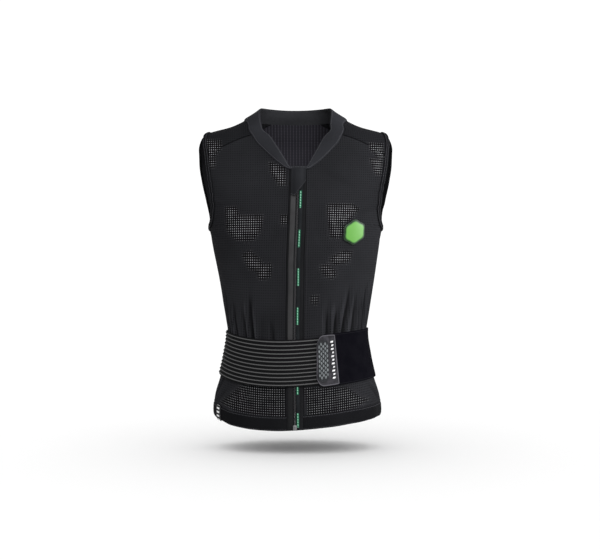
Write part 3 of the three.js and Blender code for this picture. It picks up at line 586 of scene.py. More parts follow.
# Armholes are ovals in turn and run round the side.
BINDING_WIDTH, BINDING_LAP = 9.0, 6.0
ARM_FRONT, ARM_BACK, ARM_SQUARENESS = math.radians(34.5), math.radians(24), 2.6
UNDERARM_LEVEL, ARM_TOP_BELOW_COLLAR = -215, 88
YOKE_FRONT_LEVEL, YOKE_BACK_LEVEL = -78, -92
underarm_run = float(run_at(UNDERARM_LEVEL))
arm_top_run = collar_run - ARM_TOP_BELOW_COLLAR
arm_middle, arm_half = (underarm_run + arm_top_run) / 2, (arm_top_run - underarm_run) / 2
TURN_PER_MM = 1 / (1.17 * CHEST_HALF_DEPTH)


def arm_turn(run, to_front, grow):
    share = np.minimum(np.abs(run - arm_middle) / (arm_half + grow), 1)
    gape = (1 - share ** ARM_SQUARENESS) ** (1 / ARM_SQUARENESS)
    reach = (ARM_FRONT if to_front else ARM_BACK) + grow * TURN_PER_MM
    depth = front_at(run) if to_front else back_at(run)
    away = np.where(gape > 0, reach * gape, -0.3 / depth)
    return math.pi / 2 + (-away if to_front else away)


def arm_place(angle, grow):
    reach = roundness(angle, ARM_SQUARENESS)
    spread = np.where(np.cos(angle) > 0, ARM_FRONT, ARM_BACK) + grow * TURN_PER_MM
    run = arm_middle + (arm_half + grow) * np.sin(angle) / reach
    return math.pi / 2 - spread * np.cos(angle) / reach, run


def arm_angle(run, grow):
    share = (run - arm_middle) / (arm_half + grow)
    return math.atan2(share, (1 - share ** ARM_SQUARENESS) ** (1 / ARM_SQUARENESS))


def mix(first, second, share):
    return first + (second - first) * share


arm_inset = BINDING_WIDTH - BINDING_LAP
yoke_front_start = (float(seam_turn_at(YOKE_FRONT_ROW)), float(seam_run_at(YOKE_FRONT_ROW)) + COLLAR_LAP)
yoke_back_start = (float(seam_turn_at(YOKE_BACK_ROW)), float(seam_run_at(YOKE_BACK_ROW)) + COLLAR_LAP)
yoke_front_angle = arm_angle(float(run_at(YOKE_FRONT_LEVEL)), arm_inset)
yoke_back_angle = math.pi - arm_angle(float(run_at(YOKE_BACK_LEVEL)), arm_inset)
yoke_front_end = [float(v) for v in arm_place(yoke_front_angle, arm_inset)]
yoke_back_end = [float(v) for v in arm_place(yoke_back_angle, arm_inset)]
HEM_HEIGHT = 28.0
PLACKET_EDGE = 16.5


def panel_place(s, t, top_turn, top_run, inner, outer):
    run = mix(HEM_HEIGHT - 1.5, top_run, t)
    top_share = (top_turn - inner(top_run)) / (outer(top_run) - inner(top_run)) * smoothstep(s, 0, 0.08)
    share = mix(s, top_share, t ** 3)
    return mix(inner(run), outer(run), share), run


def panel_top(s, collar_share, row_from, row_to, seam_start, seam_end):
    """The top edge of a panel: along the collar seam, then along the yoke seam."""
    row = mix(row_from, row_to, np.minimum(s / collar_share, 1))
    on_seam, at_collar = np.clip((s - collar_share) / (1 - collar_share), 0, 1), s < collar_share
    turn = np.where(at_collar, seam_turn_at(row), mix(seam_start[0], seam_end[0], on_seam))
    run = np.where(at_collar, seam_run_at(row) + COLLAR_LAP, mix(seam_start[1], seam_end[1], on_seam))
    return turn, run + 0.2


def front_place(side):
    def place(s, t):
        top = panel_top(s, 0.38, 1, YOKE_FRONT_ROW, yoke_front_start, yoke_front_end)
        turn, run = panel_place(s, t, *top, lambda r: PLACKET_EDGE / width_at(r),
                                lambda r: arm_turn(r, True, arm_inset))
        return side * turn, run
    return place


def back_place(s, t):
    half = np.abs(2 * s - 1)
    top = panel_top(half, 0.3, CENTRE_BACK_ROW, YOKE_BACK_ROW, yoke_back_start, yoke_back_end)
    turn, run = panel_place(half, t, *top, lambda r: math.pi + 0 * r,
                            lambda r: arm_turn(r, False, arm_inset))
    return np.where(s > 0.5, 2 * math.pi - turn, turn), run


def yoke_place(side):
    def place(s, t):
        row = mix(YOKE_FRONT_ROW, YOKE_BACK_ROW, t)
        arm = arm_place(mix(yoke_front_angle, yoke_back_angle, t), arm_inset)
        turn = mix(seam_turn_at(row), arm[0], s)
        return side * turn, mix(seam_run_at(row) + COLLAR_LAP, arm[1], s)
    return place


def tucked(width, length):
    """Cloth that rises a little and then dips where it runs into a seam."""
    def lift(s, t):
        beside = np.minimum(np.minimum(t, 1 - t) * length, np.minimum(s, 1 - s) * width)
        return 0.5 * bump(beside, 5, 2.2) - 1.1 * np.exp(-beside / 1.6)
    return lift


lining_mesh = finish("lining_mesh", (0.022, 0.021, 0.026), 0.8, 0.05)
where = lining_mesh.node_tree.nodes.new("ShaderNodeSeparateXYZ")
lining_mesh.node_tree.links.new(add(lining_mesh, "TexCoord", {}).node.outputs["Object"], where.inputs[0])
lining_rows = ramp(lining_mesh, stripes(lining_mesh, where.outputs[0], 6.4), -0.6, 0.95)
lining_courses = ramp(lining_mesh, stripes(lining_mesh, where.outputs[2], 5.6), -1, 1)
lining_courses = plus(lining_mesh, 0.6, times(lining_mesh, lining_courses, 0.4))
lining_net = times(lining_mesh, lining_rows, lining_courses)
lining_colour = blend(lining_mesh, lining_net, (0.011, 0.0105, 0.0135), (0.025, 0.024, 0.030))
beyond_pad = ramp(lining_mesh, apart(lining_mesh, where.outputs[0], 0), 0.095, 0.13)
paint(lining_mesh, blend(lining_mesh, beyond_pad, lining_colour, (0.006, 0.006, 0.007)))
relief(lining_mesh, lining_net, 0.3, 0.5)

for side, word in ((-1, "right"), (1, "left")):
    front = lay(f"knit_front_{word}", 74, 150, front_place(side), tucked(250, 560), -CLOTH,
                sides=True, knitted=True)
    stand_for(front, knit, "knit", f"front_panel_{word}")
    mark_pale(front)
    yoke = lay(f"knit_yoke_{word}", 40, 48, yoke_place(side), tucked(90, 170), -CLOTH, sides=True,
               knitted=True)
    stand_for(yoke, shaded_yoke_knit, "knit", f"yoke_{word}")
    mark_pale(yoke)
back = lay("knit_back", 150, 150, back_place, tucked(480, 590), -CLOTH, sides=True, knitted=True)
stand_for(back, knit, "knit", "back_panel", second=lining_mesh)
mark_pale(back)

# Trim: the collar band, the armhole bindings, the hem band and the plackets, in smooth plain
# stretch fabric. Each is folded over the knit's raw edge and topstitched near its own edges.


def stitched_trim(name, colour, stitch_from_edge, stitch_colour):
    mat = finish(name, colour, 0.75, 0.02)
    edge = attribute(mat, "edge")
    beside = apart(mat, edge, stitch_from_edge)
    line = ramp(mat, beside, 0.62, 0.3)
    thread = ramp(mat, stripes(mat, cloth_part(mat, 0), 3.2), -0.35, 0.1)
    stitch = times(mat, line, thread)
    cloth = blend(mat, mottle(mat, 14.0), [0.85 * c for c in colour], [1.12 * c for c in colour])
    paint(mat, blend(mat, stitch, cloth, stitch_colour))
    twill = plus(mat, cloth_part(mat, 0), cloth_part(mat, 1))
    weave = times(mat, stripes(mat, twill, 0.8), 0.1)
    weave = plus(mat, weave, times(mat, grain(mat, 700.0, 2.0), 0.3))
    sunk = times(mat, ramp(mat, beside, 1.6, 0.4), -0.8)
    raised = plus(mat, times(mat, stitch, 0.9), sunk)
    relief(mat, plus(mat, weave, raised), 0.5, 0.8)
    return mat


collar_cloth = stitched_trim("collar_cloth", (0.0128, 0.0132, 0.0154), 2.0, (0.045, 0.045, 0.05))
trim_cloth = stitched_trim("trim_cloth", (0.0038, 0.0039, 0.0045), 2.2, (0.045, 0.045, 0.05))


def collar_place(s, t):
    row = CENTRE_BACK_ROW * (1 - np.abs(1 - 2 * s))
    turn = mix(seam_turn_at(row), edge_turn_at(row), t)
    return np.where(s > 0.5, turn - 2 * math.pi, -turn), mix(seam_run_at(row), edge_run_at(row), t)


def collar_lift(s, t):
    seam, free = np.exp(-t / 0.05), np.exp(-(1 - t) / 0.035)
    pucker = 0.12 * np.sin(700 * s) * np.exp(-t / 0.12)
    return 3.4 + 0.5 * np.sin(np.pi * t) - 2.0 * seam - 0.9 * free + pucker


collar = lay("collar_band", 300, 22, collar_place, collar_lift, 0.1, on=on_body, stops=(even, crowded))
collar_inside = stitched_trim("collar_inside", (0.023, 0.0235, 0.026), 2.0, (0.05, 0.05, 0.055))
stand_for(collar, collar_cloth, "trim", "collar", second=collar_inside)

for side, word in ((-1, "right"), (1, "left")):
    def binding_place(s, t, side=side):
        turn, run = arm_place(2 * math.pi * s, t * BINDING_WIDTH)
        return side * turn, run

    binding = lay(f"armhole_trim_{word}", 190, 12, binding_place,
                  lambda s, t: 2.2 + 0.6 * np.sin(np.pi * t) - 0.9 * np.exp(-(1 - t) / 0.1)
                  + 0.1 * np.sin(900 * s) * t, 0.9, stops=EVEN, ring=True)
    stand_for(binding, trim_cloth, "trim", f"armhole_binding_{word}")


def hem_place(s, t):
    start = PLACKET_EDGE / width_at(0)
    return mix(start, 2 * math.pi - start, s), t * HEM_HEIGHT


def hem_lift(s, t):
    roll = np.exp(-t / 0.05) * 1.3
    return 1.1 - roll - 0.9 * np.exp(-(1 - t) / 0.04) + 0.16 * np.sin(640 * s) * np.exp(-(1 - t) / 0.3)


hem = lay("hem_band_cloth", 420, 18, hem_place, hem_lift, -1.6, stops=(even, crowded))
stand_for(hem, trim_cloth, "trim", "hem_band")

# The front zip: a closed coil chain on a woven tape, whose right side is broad and painted pale as a
# highlight above the belt, dark as painted shade below it, and whose left side carries short printed
# bars, between two plain plackets. A flap covers the parked slider.
CHAIN_WIDTH = 5.0
BOX_LENGTH = 11.0
PRINTED_BLOCKS = [(0.005, 0.033), (0.069, 0.089), (0.207, 0.241), (0.284, 0.318), (0.36, 0.394),
                  (0.437, 0.471)]
strip_top = zip_top_run - SEAM_GAP


def strip(name, first, last, bottom, top, outer, inner, columns=6):
    def place(s, t):
        run = mix(bottom, top, t)
        return mix(first, last, s) / width_at(run), run
    return lay(name, columns, 150, place, outer, inner, on=on_body, stops=EVEN, rim=0.25)


def zip_tape(name, colour, printed):
    mat = finish(name, colour, 0.65, 0.05)
    up = cloth_part(mat, 1)
    across = cloth_part(mat, 0)
    woven = blend(mat, mottle(mat, 30.0), [0.85 * c for c in colour], [1.15 * c for c in colour])
    if printed:
        in_block = 0.0
        for start, end in PRINTED_BLOCKS:
            from_middle = apart(mat, up, (start + end) / 2)
            in_block = plus(mat, calc(mat, "LESS_THAN", from_middle, (end - start) / 2), in_block)
        beside = apart(mat, across, 0.0028)
        slant = plus(mat, up, times(mat, across, 0.6))
        bars = ramp(mat, stripes(mat, slant, 5.2), -0.75, -0.35)
        bar = times(mat, ramp(mat, beside, 0.0011, 0.0006), bars)
        surround = times(mat, ramp(mat, beside, 0.0028, 0.0018), in_block)
        woven = blend(mat, surround, woven, (0.002, 0.05, 0.024))
        woven = blend(mat, times(mat, bar, in_block), woven, (0.17, 0.36, 0.255))
    else:
        # Painted shade makes the tape near-black below 112 mm up, under the belt; above it the pale colour
        # is a painted highlight on its smooth face.
        woven = blend(mat, ramp(mat, up, 0.112, 0.118), (0.0062, 0.0064, 0.007), woven)
    paint(mat, woven)
    weave = times(mat, stripes(mat, up, 0.7), 0.3)
    weave = plus(mat, weave, times(mat, stripes(mat, across, 1.2), 0.3))
    relief(mat, weave, 0.3, 0.7)
    return mat


placket_cloth = stitched_trim("placket_cloth", (0.0066, 0.0068, 0.0075), 2.2, (0.018, 0.018, 0.02))
# The right tape's pale colour is a painted highlight, and its foot is painted shade.
tape_painted_light = zip_tape("zip_tape_painted_highlight_and_shade", (0.0235, 0.0233, 0.0243), False)
printed_tape = zip_tape("printed_zip_tape", (0.006, 0.007, 0.008), True)
for side, word, tape_width, tape_finish in ((-1, "right", 10.0, tape_painted_light), (1, "left", 6.5, printed_tape)):
    near = side * (CHAIN_WIDTH / 2 + SEAM_GAP)
    placket = strip(f"placket_cloth_{word}", side * 0.15, side * (PLACKET_EDGE + 0.3), 0, strip_top + 3.5,
                    lambda s, t: 0.1 - 0.6 * np.exp(-(1 - s) / 0.06), -CLOTH, columns=12)
    stand_for(placket, placket_cloth, "trim", f"placket_{word}")
    tape = strip(f"zip_tape_cloth_{word}", near, near + side * tape_width, SEAM_GAP, strip_top - SEAM_GAP,
                 lambda s, t: 1.4 + 0.25 * np.sin(np.pi * s), 0.6)
    stand_for(tape, tape_finish, "zip_tape", f"zip_tape_{word}")


def wrap(flat, name):
    """Wraps a piece made flat, in mm across, up the run and off the body, onto the body."""
    bmesh.ops.recalc_face_normals(flat, faces=flat.faces[:])
    mesh = bpy.data.meshes.new(name)
    flat.to_mesh(mesh)
    flat.free()
    across, run, lift = points_of(mesh).T
    mesh.vertices.foreach_set("co", (on_body(turn_across(across, run), run, lift) / 1000).ravel())
    mesh.shade_smooth()
    return linked(name, mesh)


def block(flat, centre, size, bevel, segments=1):
    """Adds a rounded block to a flat piece."""
    cube = bmesh.ops.create_cube(flat, size=1)["verts"]
    bmesh.ops.scale(flat, verts=cube, vec=size)
    bmesh.ops.translate(flat, verts=cube, vec=centre)
    edges = list({edge for vertex in cube for edge in vertex.link_edges})
    bmesh.ops.bevel(flat, geom=edges, offset=bevel, segments=segments, profile=0.5, affect="EDGES",
                    material=-1)


def mottled(name, colour, roughness, specular, scale, dark, light):
    mat = finish(name, colour, roughness, specular)
    paint(mat, blend(mat, mottle(mat, scale), dark, light))
    return mat


zip_coil = mottled("zip_coil_plastic", (0.012, 0.012, 0.013), 0.4, 0.3, 400.0,
                   (0.008, 0.008, 0.009), (0.018, 0.018, 0.02))
coil = bmesh.new()
first_loop, last_loop, pitch = BOX_LENGTH + SEAM_GAP + 0.8, strip_top - SEAM_GAP - 0.8, 1.55
for i in range(int((last_loop - first_loop) / pitch)):
    sway = 0.45 if i % 2 else -0.45
    block(coil, (sway, first_loop + i * pitch, 1.2), (4.1, 1.15, 1.8), 0.4)
zip_chain = wrap(coil, "zip_coil")
stand_for(zip_chain, zip_coil, "zip", "zip_chain")

slider = bmesh.new()
slider_middle = zip_top_run - 2.4 - 7
block(slider, (0, slider_middle, 4.1), (9.4, 13.4, 2.4), 0.9, 3)
block(slider, (0, slider_middle - 1, 5.1), (3.0, 7.0, 0.5), 0.2)
slider = wrap(slider, "zip_slider_body")
stand_for(slider, zip_coil, "zip", "zip_slider")

foot_box = bmesh.new()
block(foot_box, (0, 5.4, 3.2), (7.4, 10.4, 2.2), 0.7, 3)
block(foot_box, (0, 8.2, 4.2), (3.4, 3.2, 0.6), 0.2)
foot_box = wrap(foot_box, "zip_foot_box")
box_metal = finish("zip_box_metal", (0.09, 0.09, 0.093), 0.42, metallic=0.5)
feed(box_metal, "Roughness", mottle(box_metal, 300.0, -0.4, 1.4))
stand_for(foot_box, box_metal, "zip", "zip_box")

FLAP_START, FLAP_HALF_WIDTH = -0.85, 15.5
flap_foot_at = smooth_curve([FLAP_START, -0.35, 0.05, 0.55, 1.0], [58.2, 60, 51.6, 40.8, 30])
flap_top = zip_top_run + 0.06 * NECK_DROP


def flap_place(s, t):
    across = mix(FLAP_START, 1.0, s)
    run = mix(flap_top - flap_foot_at(across), flap_top, t)
    return across * FLAP_HALF_WIDTH / width_at(run), run


def flap_lift(s, t):
    over_slider = np.exp(-((mix(FLAP_START, 1.0, s) * FLAP_HALF_WIDTH / 8.5) ** 4))
    return 2.3 + 3.9 * over_slider * (1 - smoothstep(t, 0.78, 1.0)) + 1.2 * smoothstep(t, 0.85, 1.0)


flap = lay("zip_flap_cloth", 30, 44, flap_place,
           lambda s, t: flap_lift(s, t) + 1.6, flap_lift, on=on_body, rim=0.5)
flap_cloth = stitched_trim("flap_cloth", (0.0098, 0.0102, 0.0117), 2.2, (0.045, 0.045, 0.05))
stand_for(flap, flap_cloth, "trim", "zip_flap")

# The waist belt: ribbed elastic round the wearer's right and the front, a band of dark loop pile round
# the left, and the same band across the back. The ribbed end is pressed onto the loops.
BELT_LIFT = 2.6
RIBS = 12
LOOP_HEIGHT = 101.0
BELT_BACK_END = math.radians(148)
RIBBED_END, LOOP_START = 56.0, 59.0


def belt_place(first, last, height):
    def place(s, t):
        return mix(first, last, s), belt_run + (t - 0.5) * height
    return place


def rib_lift(s, t):
    in_rib = np.cos(2 * np.pi * RIBS * t + np.pi)
    crest = np.clip((in_rib + 0.1) / 1.1, 0, 1) ** 1.4
    stretch = 0.1 * np.sin(23 * s + 3 * t)
    return BELT_LIFT + 1.7 + 1.5 * crest + stretch


ribbed_end = float(turn_across(RIBBED_END, belt_run))
ribbed = lay("belt_ribbed_elastic", 170, 16 * RIBS, belt_place(-BELT_BACK_END, ribbed_end, RIBBED_HEIGHT),
             rib_lift, BELT_LIFT, on=on_body, stops=EVEN)
elastic = finish("ribbed_elastic", (0.02, 0.02, 0.02), 0.75, 0.03)
rib_share = calc(elastic, "FRACT", times(elastic, attribute(elastic, "rise"), RIBS))
rib_crest = ramp(elastic, apart(elastic, rib_share, 0.5), 0.2, 0.06)
thread_wave = stripes(elastic, cloth_part(elastic, 0), 1.5)
thread_tone = ramp(elastic, thread_wave, -1.3, 1.3)
crest_colour = blend(elastic, thread_tone, (0.038, 0.038, 0.038), (0.082, 0.082, 0.083))
paint(elastic, blend(elastic, rib_crest, (0.0032, 0.0032, 0.0036), crest_colour))
threads = plus(elastic, times(elastic, thread_wave, 0.25), grain(elastic, 700.0))
relief(elastic, threads, 0.3, 0.8)
stand_for(ribbed, elastic, "ribbed_elastic", "belt_ribbed")

loop_pile = finish("loop_pile", (0.0062, 0.006, 0.0085), 0.95, 0.01)
curls = grain(loop_pile, 1100.0, 4.0)
patches = mottle(loop_pile, 45.0, 0.35, 0.65)
pile_colour = blend(loop_pile, patches, (0.0019, 0.0018, 0.0029), (0.0026, 0.0025, 0.0037))
seam_stitch = ramp(loop_pile, apart(loop_pile, attribute(loop_pile, "edge"), 2.6), 0.7, 0.3)
pile_colour = blend(loop_pile, times(loop_pile, seam_stitch, 0.6), pile_colour, (0.010, 0.010, 0.012))
paint(loop_pile, pile_colour)
relief(loop_pile, calc(loop_pile, "SUBTRACT", curls, times(loop_pile, seam_stitch, 0.8)), 0.8, 0.9)


def band_lift(s, t):
    beside = np.minimum(t, 1 - t) * LOOP_HEIGHT
    return BELT_LIFT + 2.4 - 0.5 * bump(beside, 2.6, 0.9) - 1.0 * np.exp(-beside / 0.5)


loop_start = float(turn_across(LOOP_START, belt_run))
gap_turn = SEAM_GAP / CHEST_HALF_DEPTH
loop_place = belt_place(loop_start, BELT_BACK_END, LOOP_HEIGHT)
loop_band = lay("belt_loop_pile", 110, 40, loop_place, band_lift, BELT_LIFT, on=on_body)
stand_for(loop_band, loop_pile, "loop_pile", "belt_loop_band")
back_band_start = BELT_BACK_END + gap_turn
back_band_place = belt_place(back_band_start, 2 * math.pi - back_band_start, LOOP_HEIGHT)
back_band = lay("belt_back_pile", 80, 40, back_band_place, band_lift, BELT_LIFT, on=on_body)
stand_for(back_band, loop_pile, "loop_pile", "belt_back")

# The grip tab: moulded rubber, sewn on the ribbed end, with a raised field of six-sided studs to grip
# and a slanted row of plain white bars beside it.
TAB_START, TAB_WIDTH, TAB_SLANT, TAB_HEIGHT = 42.5, 38.0, 9.0, 99.0
TAB_LIFT = BELT_LIFT + 3.7
tab_height_at = smooth_curve([0, 0.03, 0.08, 0.18, 0.34, 0.67, 0.96, 1.0],
                             [0.62, 0.72, 0.82, 0.94, 1.0, 1.0, 0.985, 0.95])


def tab_place(s, t):
    run = belt_run + (t - 0.5) * tab_height_at(s) * TAB_HEIGHT
    across = TAB_START + s * (TAB_WIDTH - (t - 0.5) * TAB_SLANT)
    return turn_across(across, run), run


def tab_lift(s, t):
    beside = np.minimum(np.minimum(s * TAB_WIDTH, (1 - s) * TAB_WIDTH), np.minimum(t, 1 - t) * TAB_HEIGHT)
    rim = bump(beside, 1.4, 0.8)
    return TAB_LIFT + 1.9 + 0.35 * rim - 0.9 * bump(s, 0.655, 0.022)


tab = lay("belt_tab_rubber", 48, 80, tab_place, tab_lift, TAB_LIFT, on=on_body, sides=True, rim=0.6)
tab_rubber = finish("tab_rubber", (0.017, 0.016, 0.019), 0.6, 0.08)
worn = mottle(tab_rubber, 120.0, 0.35)
tab_colour = blend(tab_rubber, worn, (0.011, 0.0107, 0.0127), (0.023, 0.022, 0.026))
# A painted highlight lightens a thin line about 1.5 mm in from the tab's edge, along its raised rim.
from_rim = apart(tab_rubber, attribute(tab_rubber, "edge"), 1.5)
tab_rim_painted_highlight = ramp(tab_rubber, from_rim, 1.1, 0.3)
paint(tab_rubber, blend(tab_rubber, tab_rim_painted_highlight, tab_colour, (0.06, 0.058, 0.066)))
relief(tab_rubber, grain(tab_rubber, 1500.0, 2.0), 0.08, 0.7)
stand_for(tab, tab_rubber, "rubber", "belt_tab")

GRIP_START, GRIP_WIDTH, GRIP_HEIGHT = 44.9, 20.0, 82.0
grip_lift = TAB_LIFT + 2.6


def slanted(across, run, start):
    """Moves a place on the tab sideways with its slant."""
    return across - (run - belt_run) / TAB_HEIGHT * TAB_SLANT * (start - TAB_START) / TAB_WIDTH


grip = bmesh.new()
grip_middle = GRIP_START + GRIP_WIDTH / 2
field = bmesh.ops.create_circle(grip, cap_ends=True, segments=48, radius=GRIP_WIDTH / 2)["verts"]
for vertex in field:
    straight = math.copysign(GRIP_HEIGHT / 2 - GRIP_WIDTH / 2, vertex.co.y)
    vertex.co = (vertex.co.x + grip_middle, vertex.co.y + straight + belt_run, grip_lift)
raise_copy(grip, 0.5)
bmesh.ops.bisect_plane(grip, geom=grip.verts[:] + grip.edges[:] + grip.faces[:],
                       plane_co=(grip_middle, belt_run, 0), plane_no=(1, 0, 0))
for level in range(-3, 4):
    bmesh.ops.bisect_plane(grip, geom=grip.verts[:] + grip.edges[:] + grip.faces[:],
                           plane_co=(grip_middle, belt_run + level * 11, 0), plane_no=(0, 1, 0))
for column in range(-2, 3):
    for row in range(-4, 5):
        across, up = column * 3.7, (row + 0.5 * (column % 2)) * 9.2
        into_end = max(abs(up) + 3 - (GRIP_HEIGHT - GRIP_WIDTH) / 2, 0)
        if math.hypot(across, into_end) < GRIP_WIDTH / 2 - 1.8:
            stud = bmesh.ops.create_cone(grip, cap_ends=True, segments=6, radius1=1.8, radius2=1.25,
                                         depth=0.9)["verts"]
            bmesh.ops.rotate(grip, verts=stud, matrix=mathutils.Matrix.Rotation(math.pi / 6, 3, "Z"))
            bmesh.ops.scale(grip, verts=stud, vec=(1.05, 2.15, 1))
            middle = (grip_middle + across, belt_run + up, grip_lift + 0.8)
            bmesh.ops.translate(grip, verts=stud, vec=middle)
            for face in {face for vertex in stud for face in vertex.link_faces}:
                face.material_index = 1
for vertex in grip.verts:
    vertex.co.x = slanted(vertex.co.x, vertex.co.y, grip_middle)
grip = wrap(grip, "tab_grip_studs")
grip.data.shade_flat()
grip_rubber = mottled("grip_rubber", (0.012, 0.013, 0.014), 0.6, 0.06, 240.0,
                      (0.008, 0.0085, 0.0095), (0.016, 0.017, 0.019))
stud_rubber = mottled("stud_rubber", (0.06, 0.066, 0.07), 0.5, 0.15, 320.0,
                      (0.05, 0.055, 0.058), (0.11, 0.12, 0.125))
stand_for(grip, grip_rubber, "rubber", "tab_grip", second=stud_rubber)

bars = bmesh.new()
BAR_MIDDLE = TAB_START + 30
BAR_PITCH = 7.0
for i, length in enumerate((4.8, 3.6, 4.8, 2.8, 4.8, 3.6, 4.8, 2.8, 4.8, 3.6, 4.8)):
    up = (i - 5) * BAR_PITCH
    middle = (BAR_MIDDLE + 0.5 * (4.8 - length), belt_run + up, grip_lift)
    block(bars, middle, (length, 3.4, 0.7), 0.25, 2)
for vertex in bars.verts:
    vertex.co.x += 0.35 * ((vertex.co.y - belt_run + BAR_PITCH / 2) % BAR_PITCH - BAR_PITCH / 2)
    vertex.co.x = slanted(vertex.co.x, vertex.co.y, BAR_MIDDLE)
bars = wrap(bars, "tab_white_bars")
white_rubber = mottled("white_rubber", (0.72, 0.72, 0.72), 0.45, 0.5, 200.0,
                       (0.34, 0.34, 0.35), (0.48, 0.48, 0.48))
stand_for(bars, white_rubber, "white_print", "tab_stripe")

# The pads: a long grooved foam plate down the back and a smaller one on each side of the chest, each
# in a knit cover. A mesh lining holds the back plate, and shows through the neck.
PAD_LIFT = -CLOTH - 2.3
pad_round_at = smooth_curve([0, 0.08, 0.2, 0.4, 0.7, 0.88, 1], [0.62, 0.82, 0.9, 0.92, 1.0, 0.92, 0.62])


def pad_place(centre, half_turn, bottom, top, s, t):
    reach = (2 * s - 1) * np.maximum(pad_round_at(t), 0.3) * math.radians(half_turn)
    return math.radians(centre) + reach, mix(float(run_at(bottom)), float(run_at(top)), t)


def pad_swell(thickness, s, t):
    from_side = np.clip((1.08 - np.abs(2 * s - 1)) / 0.26, 0, 1)
    from_end = np.clip((0.54 - np.abs(t - 0.5)) / 0.12, 0, 1)
    return thickness * np.minimum(from_side, from_end)


pad_cover = finish("pad_cover", (0.012, 0.012, 0.013), 0.85, 0.12)
cover_holes = hole_lattice(pad_cover, 9.0, 9.0, 1.6)
paint(pad_cover, blend(pad_cover, cover_holes, (0.012, 0.012, 0.013), (0.004, 0.004, 0.004)))
cover_knit = times(pad_cover, grain(pad_cover, 500.0), 0.3)
relief(pad_cover, calc(pad_cover, "SUBTRACT", cover_knit, cover_holes), 0.8, 0.8)
BACK_PAD = (180, 42, -548, -62, 12.0)
PADS = [
    ("back_pad", *BACK_PAD, 12),
    ("chest_pad_right", -31, 20, -292, -148, 7.0, 4),
    ("chest_pad_left", 31, 20, -292, -148, 7.0, 4),
]
for node, centre, half_turn, bottom, top, thickness, grooves in PADS:
    def place(s, t, shape=(centre, half_turn, bottom, top)):
        return pad_place(*shape, s, t)

    def inner_lift(s, t, thickness=thickness, grooves=grooves):
        groove = 1 - 0.3 * (0.5 - 0.5 * np.cos(np.pi * grooves * t)) ** 3
        return PAD_LIFT - pad_swell(thickness, s, t) * groove

    pad = lay(f"{node}_foam", 40, 90, place, PAD_LIFT, inner_lift, on=on_body, stops=EVEN, rim=1.0)
    stand_for(pad, pad_cover, "foam", node)


def past_pad(s, t):
    return mix(-0.1, 1.1, s), mix(-0.04, 1.08, t)


def lining_place(s, t):
    return pad_place(*BACK_PAD[:4], *past_pad(s, t))


def lining_lift(s, t):
    return PAD_LIFT - 0.6 - pad_swell(BACK_PAD[4], *past_pad(s, t))


lining = lay("back_lining_mesh", 70, 110, lining_place, lining_lift, lambda s, t: lining_lift(s, t) - 1.0,
             on=on_body, stops=EVEN)
stand_for(lining, lining_mesh, "knit", "back_lining")

# The badge and the side label: a moulded badge with six rounded sides, green in a dark frame, bonded on
# the wearer's left chest, and a small woven label with plain white bars sewn over the hem.
BADGE_ACROSS, BADGE_WIDTH, BADGE_HEIGHT, BADGE_TILT = 114.0, 42.0, 50.0, math.radians(28)
badge_run = float(run_at(-229))


def badge_layer(name, scale, foot, lift_at, mat, slot, node):
    def place(s, t):
        angle = -2 * math.pi * s
        reach = t * scale * (1 + 0.05 * np.cos(6 * angle))
        x, y = BADGE_WIDTH / 2 * reach * np.cos(angle), BADGE_HEIGHT / 2 * reach * np.sin(angle)
        run = badge_run - x * math.sin(BADGE_TILT) + y * math.cos(BADGE_TILT)
        across = BADGE_ACROSS + x * math.cos(BADGE_TILT) + y * math.sin(BADGE_TILT)
        return turn_across(across, run), run

    layer = lay(name, 72, 16, place, lift_at, foot, on=on_body, stops=EVEN, ring=True, pole=True)
    stand_for(layer, mat, slot, node)


badge_frame = mottled("badge_frame", (0.02, 0.035, 0.02), 0.5, 0.15, 150.0,
                      (0.006, 0.014, 0.007), (0.014, 0.03, 0.015))
badge_green = finish("badge_green", (0.095, 0.25, 0.055), 0.45, 0.3)
badge_rim = ramp(badge_green, attribute(badge_green, "rise"), 0.86, 0.95)
paint(badge_green, blend(badge_green, badge_rim, (0.06, 0.185, 0.026), (0.022, 0.09, 0.012)))
badge_layer("badge_frame_rubber", 1.0, 1.2, lambda s, t: 2.8 - 0.5 * smoothstep(t, 0.9, 1.0),
            badge_frame, "rubber", "badge_base")
badge_layer("badge_green_face", 0.86, 3.6, lambda s, t: 4.6 - 0.7 * t ** 3,
            badge_green, "green_badge", "badge_face")


def label_place(s, t):
    return math.radians(-64) + (s - 0.5) * 12 / front_at(0), t * 30


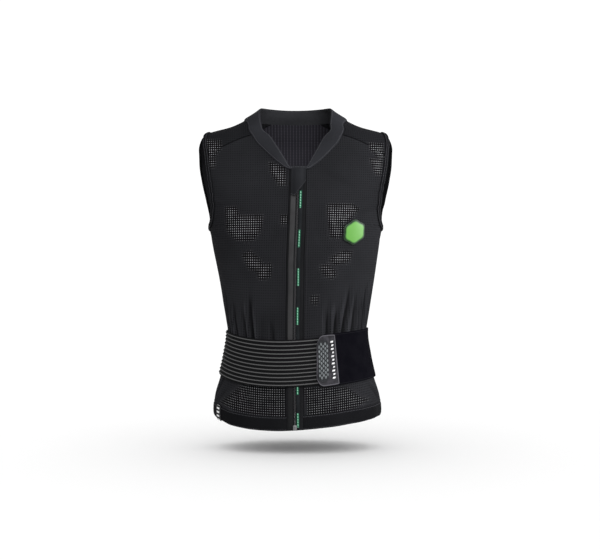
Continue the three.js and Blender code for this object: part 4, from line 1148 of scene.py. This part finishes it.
label = lay("side_label_woven", 16, 40, label_place, lambda s, t: 2.6 + 0.15 * np.sin(np.pi * s), 1.6,
            stops=EVEN, rim=0.2)
label_cloth = finish("label_cloth", (0.01, 0.01, 0.011), 0.6, 0.2)
label_up, label_along = cloth_part(label_cloth, 1), cloth_part(label_cloth, 0)
label_bars = ramp(label_cloth, stripes(label_cloth, label_up, 7.4), 0.05, 0.35)
label_inside = apart(label_cloth, label_along, 0.006)
label_print = times(label_cloth, label_bars, ramp(label_cloth, label_inside, 0.0046, 0.004))
paint(label_cloth, blend(label_cloth, label_print, (0.01, 0.01, 0.011), (0.6, 0.6, 0.6)))
relief(label_cloth, stripes(label_cloth, label_up, 0.6), 0.15, 0.6)
stand_for(label, label_cloth, "white_print", "side_label")

# The studio: a white floor below the hem, an even white room, a softbox in front and above, a second one
# at the wearer's left that grazes that side, and a level camera in front. The softboxes light all but
# the floor, so that the soft shadow under the vest stays.
floor_mesh = bpy.data.meshes.new("studio_floor")
floor_grid = bmesh.new()
bmesh.ops.create_grid(floor_grid, x_segments=1, y_segments=1, size=30)
bmesh.ops.translate(floor_grid, verts=floor_grid.verts[:], vec=(0, 0, -0.666))
floor_grid.to_mesh(floor_mesh)
floor_grid.free()
floor = linked("studio_floor", floor_mesh)
floor.data.materials.append(finish("studio_white", (0.97, 0.97, 0.97), 0.9, 0.0))

world = bpy.data.worlds.new("studio_air")
bpy.context.scene.world = world
world.use_nodes = True
world.node_tree.nodes["Background"].inputs["Color"].default_value = (1, 1, 1, 1)
world.node_tree.nodes["Background"].inputs["Strength"].default_value = 1.08


def softbox(name, place, aim, width, height, power):
    light = bpy.data.lights.new(name, "AREA")
    light.shape, light.size, light.size_y, light.energy = "RECTANGLE", width, height, power
    lamp = linked(name, light)
    lamp.location = place
    direction = np.array(aim) - np.array(place)
    lamp.rotation_euler = (math.atan2(np.hypot(*direction[:2]), -direction[2]), 0,
                           math.atan2(-direction[0], direction[1]))
    lamp.light_linking.receiver_collection = lit_by_softboxes


lit_by_softboxes = bpy.data.collections.new("lit_by_softboxes")
for member in bpy.data.objects:
    if member.type == "MESH" and member != floor:
        lit_by_softboxes.objects.link(member)
softbox("front_softbox", (0.5, -2.8, 1.0), (0, 0, -0.3), 1.2, 1.2, 90)
softbox("side_softbox", (2.2, -0.5, 0.1), (0.1, 0, -0.25), 0.6, 1.4, 72)

camera = bpy.data.cameras.new("product_camera")
camera.lens, camera.sensor_width = 73.17, 36
camera_object = linked("product_camera", camera)
camera_object.location = (0.009, -2.5, -0.324)
camera_object.rotation_euler = (math.pi / 2, 0, 0)
bpy.context.scene.camera = camera_object
bpy.context.scene.view_settings.view_transform = "Standard"
